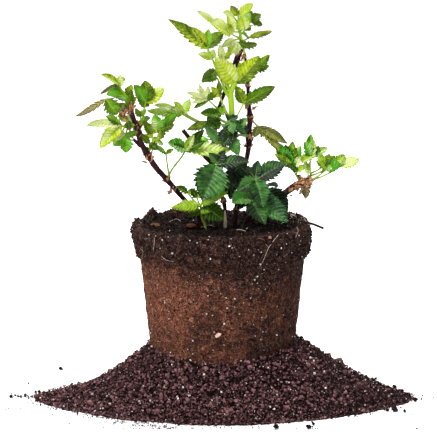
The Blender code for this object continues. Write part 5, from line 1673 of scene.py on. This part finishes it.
@dataclass
class SoilHeap:
    """The heap of loose soil that the root ball stands in.

    Each side has its reach, its height at the ball and how hollow its slope is. Lumps and clods have
    their place in the photograph's pixels and a radius in millimetres, and a spray of crumbs has the
    corners of its patch in those pixels and its number of crumbs.
    """

    meets_ball: float = 72.0
    left: Triple = (187.0, 58.0, 1.9)
    right: Triple = (192.0, 66.0, 1.28)
    front: Triple = (149.0, 48.0, 1.15)
    back: Triple = (138.0, 50.0, 1.15)
    round_front: float = 1.68
    bed_depth: float = 1.4
    round_back: float = 1.5
    wander: float = 0.035
    wander_grain: float = 3.1
    relief: float = 2.6
    grain: float = 7.5
    crumb_grain: float = 3.0
    crumb_rise: float = 2.3
    grit_grain: float = 1.6
    grit_rise: float = 0.8
    slope_length: float = 110.0
    sides: int = 330
    rings: int = 74
    small_count: int = 17200
    medium_count: int = 1300
    large_count: int = 60
    perlite_count: int = 480
    stray_count: int = 900
    fibre_count: int = 260
    stray_reach: Pair = (-167.0, 146.0)
    lumps: tuple[Triple, ...] = (
        (56, 371, 2.2), (25, 386, 1.4), (10, 397, 1.8), (14, 396, 1.3), (17, 397, 1.5), (20, 397, 2.0),
        (24, 396, 1.6), (27, 397, 1.2), (34, 393, 1.6), (38, 393, 2.0), (42, 394, 1.5), (46, 394, 1.8),
        (275, 422, 2.8), (307, 422, 3.4), (311, 419, 2.2),
        (393, 407, 3.4), (386, 408, 2.0), (403, 409, 1.9), (415, 399, 3.2), (410, 395, 2.6),
        (434, 398, 1.0), (412, 431, 1.2), (379, 382, 1.6), (404, 392, 2.4), (397, 389, 2.6))
    clods: tuple[Triple, ...] = (
        (138, 388.5, 3.3), (203, 408.5, 3.5), (77, 401.5, 3.0), (150, 383, 2.2), (318, 378, 2.6),
        (344, 392, 2.4), (246, 398, 2.2), (120, 404, 2.3), (285, 405, 2.5), (103, 392, 2.2))
    sprays: tuple[tuple[float, float, float, float, int], ...] = (
        (20, 397, 50, 399, 150), (8, 396, 26, 398, 60), (34, 399.5, 74, 402, 230), (24, 401, 60, 405, 110),
        (50, 404, 84, 408, 130), (5, 403, 62, 409, 70), (12, 408, 75, 424, 45), (70, 408, 100, 412, 80),
        (84, 412, 112, 415, 90), (105, 415, 138, 418, 140), (112, 418, 150, 420, 120),
        (132, 420, 168, 422, 120), (148, 422, 196, 424, 110), (70, 412, 140, 423, 50),
        (120, 418, 205, 427, 60), (205, 421, 260, 423, 60), (330, 411, 360, 414, 60),
        (355, 406, 400, 410, 90), (330, 405, 425, 418, 80), (250, 419, 345, 428, 60), (4, 394, 40, 402, 40))

    def height(self, ring: np.ndarray, angle: np.ndarray) -> np.ndarray:
        """Returns points of the heap's surface, where ring 0 meets the ball and ring 1 is the edge."""
        across, back = np.cos(angle), np.sin(angle)
        side = np.where(across[:, None] > 0, self.right, self.left)
        end = np.where(back[:, None] > 0, self.back, self.front)
        power = np.where(back > 0, self.round_back, self.round_front)
        reach = (np.abs(across / side[:, 0]) ** power + np.abs(back / end[:, 0]) ** power) ** (-1 / power)
        share = across ** 2
        top = end[:, 1] + (side[:, 1] - end[:, 1]) * share
        hollow = end[:, 2] + (side[:, 2] - end[:, 2]) * share
        around = np.stack((across, back, np.zeros_like(angle)), axis=1)
        reach = reach * (1 + self.wander * noise_at(around, 1 / self.wander_grain))
        inner = self.meets_ball - 3
        radius = inner + (reach - inner) * ring
        height = top * np.maximum(1 - ring, 0) ** hollow
        lump = noise_at(around * radius[:, None], self.grain)
        height = height + self.relief * lump * np.sqrt(np.maximum(1 - ring, 0))
        points = around * radius[:, None]
        points[:, 2] = height
        return points

    def body(self) -> Shape:
        """Returns the rough heap as one closed shape with a flat foot."""
        angles = np.linspace(0, TURN, self.sides, endpoint=False)
        ring = np.linspace(-0.03, 1.0, self.rings)
        where = np.repeat(ring, self.sides)
        turn = np.tile(angles, self.rings)
        points = self.height(where, turn)
        crumbs = cells_at(points, self.crumb_grain) - 0.4
        grit = noise_at(points, self.grit_grain, 3.0)
        fade = np.clip((1 - where) * 9, 0, 1)
        points[:, 2] += (self.crumb_rise * crumbs + self.grit_rise * grit - self.bed_depth) * fade
        ragged = noise_at(points, 4.5, 11.0) * 5 + noise_at(points, 1.7, 5.0) * 2
        out = unit(points * (1, 1, 0))
        points += out * (ragged * np.clip((where - 0.8) * 5, 0, 1))[:, None]
        points[:, 2] = np.maximum(points[:, 2], 0.35 + 0.6 * fade)
        points[-self.sides:, 2] = 0.0
        foot = len(points)
        inner = points[:self.sides] * (1, 1, 0)
        first, second = ring_corners(self.rings, self.sides)
        quads = np.stack((first, first + self.sides, second + self.sides, second), axis=1)
        around = np.arange(self.sides)
        after = (around + 1) % self.sides
        wall = np.stack((around, after, foot + after, foot + around), axis=1)
        last = (self.rings - 1) * self.sides
        floor = np.stack((last + around, foot + around, foot + after, last + after), axis=1)
        return Shape(np.concatenate((points, inner)), [np.concatenate((quads, wall, floor))])

    def on_slope(self, across: float, up: float) -> np.ndarray:
        """Returns the point of the heap's front that shows nearest to this place."""
        ring, turn = np.meshgrid(np.linspace(0, 1, 60), np.linspace(math.pi, TURN, 180))
        points = self.height(ring.ravel(), turn.ravel())
        shown = points[:, 2] * math.cos(VIEW_TILT) + points[:, 1] * math.sin(VIEW_TILT)
        return points[np.argmin((points[:, 0] - across) ** 2 + (shown - up) ** 2)]

    @staticmethod
    def darker_right_end_lighter_middle(shape: Shape) -> Shape:
        """Darkens the crumbs towards the heap's right end and lightens those in its middle."""
        shape.values["tone"] += np.interp(shape.points[:, 0], (-120, -40, 30, 80, 160),
                                          (0.0, 0.1, 0.16, 0.0, -0.55))
        return shape

    @staticmethod
    def grounded(shape: Shape) -> Shape:
        """Flattens the undersides that would sink into the floor."""
        shape.points[:, 2] = np.maximum(shape.points[:, 2], 0.05)
        return shape

    def scatter_places(self, count: int, rng: np.random.Generator, low: float = 0.0,
                       high: float = 1.0) -> tuple[np.ndarray, np.ndarray]:
        """Returns random places on the heap, even over its area, and how far out each lies."""
        ring = np.sqrt(rng.uniform((0.5 + low) ** 2, (0.5 + high) ** 2, count)) - 0.5
        places = self.height(ring, rng.uniform(0, TURN, count))
        places[:, 2] = np.maximum(places[:, 2], 0.5)
        return places, ring

    def build_all(self) -> None:
        """Makes the heap, its crumbs, its perlite and what has rolled away from it."""
        make_piece("heap_settled_soil", self.body(), [SOIL_BED], "soil_heap", "soil_heap")
        rng = np.random.default_rng(19)
        places, out = self.scatter_places(self.small_count, rng, 0.0, 1.03)
        sizes = 0.4 + 1.0 * rng.random(self.small_count) ** 2.5
        sizes *= np.where(out > 0.85, 0.8, 1.0)
        places[:, 2] += 0.7 + sizes * 0.45
        small = scatter_all(crumb_masters(0, 0.42, 8, 3), places, sizes, rng, 0.4, (-0.95, 0.78))
        small = self.grounded(self.darker_right_end_lighter_middle(small))
        make_piece("heap_crumbs_small", small, [CRUMB], "soil_heap", smooth=False)
        places, _ = self.scatter_places(self.medium_count, rng, 0.0, 1.0)
        sizes = 1.0 + 1.0 * rng.random(self.medium_count) ** 2.5
        places[:, 2] += 0.6 + sizes * 0.5
        medium = scatter_all(crumb_masters(1, 0.45, 8, 131), places, sizes, rng, 0.35, (-0.85, 0.6))
        medium = self.grounded(self.darker_right_end_lighter_middle(medium))
        make_piece("heap_crumbs_medium", medium, [CRUMB], "soil_heap", smooth=False)
        places, _ = self.scatter_places(self.large_count, rng, 0.02, 0.98)
        sizes = 1.9 + 1.6 * rng.random(self.large_count) ** 3
        places[:, 2] += 0.8 + sizes * 0.4
        clods = np.array([self.on_slope(x - AXIS_PIXEL, FLOOR_PIXEL - y) for x, y, _ in self.clods])
        places = np.concatenate((places, clods))
        sizes = np.concatenate((sizes, [size for _, _, size in self.clods]))
        large = scatter_all(crumb_masters(2, 0.22, 5, 23), places, sizes, rng, 0.3, (-0.4, 0.25))
        make_piece("heap_crumbs_large", self.grounded(large), [CRUMB], "soil_heap")
        places, _ = self.scatter_places(self.perlite_count, rng)
        sizes = 0.42 + 0.85 * rng.random(self.perlite_count) ** 3
        places[:, 2] += 2.0 + sizes * 0.5
        grains = scatter_all(crumb_masters(0, 0.4, 4, 57), places, sizes, rng)
        make_piece("heap_perlite", grains, [PERLITE], "soil_heap", smooth=False)
        self.build_fibres(rng)
        self.build_strays(rng)

    def build_fibres(self, rng: np.random.Generator) -> None:
        """Lays shreds of bark and dead twig on the heap, most of them down its slope."""
        shreds = []
        for _ in range(self.fibre_count):
            turn, ring = rng.uniform(0, TURN), rng.uniform(0.02, 0.9)
            length = rng.uniform(3, 9) if rng.random() < 0.85 else rng.uniform(10, 18)
            away = rng.normal(0, 0.9)
            steps = np.linspace(-0.5, 0.5, 5) * length
            rings = np.clip(ring + steps * math.cos(away) / self.slope_length, 0, 1)
            turns = turn + steps * math.sin(away) / self.slope_length
            route = self.height(rings, turns)
            route[:, 2] += 2.2 + rng.normal(0, 0.35, 5)
            radius = rng.uniform(0.25, 0.6) * np.array((0.5, 1, 1.1, 0.9, 0.4))
            shreds.append(tube(route, radius, 5, 0.2))
        make_piece("heap_bark_shreds", joined(shreds), [TWIG], "soil_heap")

    def on_floor(self, pixel: Pair, radius: float) -> Place:
        """Returns where a crumb of this radius lies on the floor to be seen at this pixel."""
        across, up = pixel[0] - AXIS_PIXEL, FLOOR_PIXEL - pixel[1]
        back = (up - radius * math.cos(VIEW_TILT)) / math.sin(VIEW_TILT)
        return across, float(np.clip(back, *self.stray_reach)), radius * 0.8

    def build_strays(self, rng: np.random.Generator) -> None:
        """Strews what has rolled or sprayed away from the heap over the floor."""
        masters = crumb_masters(0, 0.35, 6, 71)
        places, _ = self.scatter_places(self.stray_count, rng, 0.97, 1.09)
        sizes = 0.25 + 1.2 * rng.random(self.stray_count) ** 4
        places[:, 2] = sizes * 0.6
        spray, spray_sizes = [], []
        for x0, y0, x1, y1, count in self.sprays:
            for _ in range(count):
                size = 0.22 + 0.75 * rng.random() ** 4
                spray.append(self.on_floor((rng.uniform(x0, x1), rng.uniform(y0, y1)), size))
                spray_sizes.append(size)
        strays = scatter_all(masters, np.concatenate((places, spray)),
                             np.concatenate((sizes, spray_sizes)), rng, 0.3, (-1.1, -0.2))
        lumps = scatter_all(crumb_masters(1, 0.4, 5, 91),
                            np.array([self.on_floor(lump[:2], lump[2]) for lump in self.lumps]),
                            np.array([lump[2] for lump in self.lumps]), rng, 0.25, (-1.5, -0.8))
        strays = self.grounded(joined([strays, lumps]))
        make_piece("heap_stray_crumbs", strays, [CRUMB], "soil_heap", smooth=False)


@dataclass
class Studio:
    """White floor, soft lights and the camera, none of which belong to the object."""

    distance: float = 5.5
    aim: Triple = (-0.0025, 0.0, 0.183)
    sensor: float = 36.0
    floor_size: float = 40.0
    floor_drop: float = 0.0002
    key_strength: float = 3.5
    key_spread: float = math.radians(26)
    key_heading: Triple = (0.42, 0.62, -0.95)
    back_place: Place = (0.2, 1.3, 1.9)
    back_size: float = 1.2
    back_watts: float = 62.0
    world_strength: float = 0.46

    def floor(self) -> None:
        """Lays the pale floor."""
        bpy.ops.object.select_all(action="DESELECT")
        bpy.ops.mesh.primitive_plane_add(size=self.floor_size, location=(0, 0, -self.floor_drop))
        floor = bpy.context.object
        floor.name = "studio_floor"
        floor.data.materials.append(PaintFinish("studio_floor_white_paint").material())

    def lamp(self, name: str, place: Place, size: float, watts: float) -> None:
        """Hangs a soft square lamp that looks at the object."""
        data = bpy.data.lights.new(name, "AREA")
        data.shape = "SQUARE"
        data.size = size
        data.energy = watts
        lamp = bpy.data.objects.new(name, data)
        lamp.location = place
        towards = Vector(self.aim) - Vector(place)
        lamp.rotation_euler = towards.to_track_quat("-Z", "Y").to_euler()
        bpy.context.scene.collection.objects.link(lamp)

    def sun(self) -> None:
        """Hangs the key light high on the viewer's left, as broad as a big softbox."""
        data = bpy.data.lights.new("key_softbox", "SUN")
        data.energy = self.key_strength
        data.angle = self.key_spread
        lamp = bpy.data.objects.new("key_softbox", data)
        towards = Vector(self.key_heading)
        lamp.rotation_euler = towards.to_track_quat("-Z", "Y").to_euler()
        bpy.context.scene.collection.objects.link(lamp)

    def camera(self) -> None:
        """Sets the camera at the photograph's angle, with one millimetre of the object a pixel wide."""
        data = bpy.data.cameras.new("front_camera")
        data.sensor_width = self.sensor
        data.lens = self.sensor * self.distance / (PHOTO_WIDTH * MM)
        data.clip_end = 100.0
        camera = bpy.data.objects.new("front_camera", data)
        back = Vector((0.0, -math.cos(VIEW_TILT), math.sin(VIEW_TILT)))
        camera.location = Vector(self.aim) + back * self.distance
        camera.rotation_euler = (math.pi / 2 - VIEW_TILT, 0.0, 0.0)
        bpy.context.scene.collection.objects.link(camera)
        bpy.context.scene.camera = camera

    def world(self) -> None:
        """Makes the surroundings an even white."""
        world = bpy.data.worlds.new("white_studio")
        world.use_nodes = True
        tree = world.node_tree
        tree.nodes.clear()
        light = add_node(tree, "Background", {"Color": "#ffffff", "Strength": self.world_strength})
        tree.links.new(light, tree.nodes.new("ShaderNodeOutputWorld").inputs["Surface"])
        bpy.context.scene.world = world

    def build(self) -> None:
        """Sets up the whole studio."""
        self.camera()
        self.floor()
        self.sun()
        self.lamp("top_back", self.back_place, self.back_size, self.back_watts)
        self.world()
        bpy.context.scene.view_settings.view_transform = "Standard"


def main() -> None:
    """Builds the studio and every piece in order."""
    logging.basicConfig(level=logging.INFO, format="%(name)s: %(message)s")
    Studio().build()
    ball = RootBall()
    ball.build_all()
    Litter(ball).build_all()
    SoilHeap().build_all()
    Canes().build_all()
    Foliage().build_all()


if __name__ == "__main__":
    main()
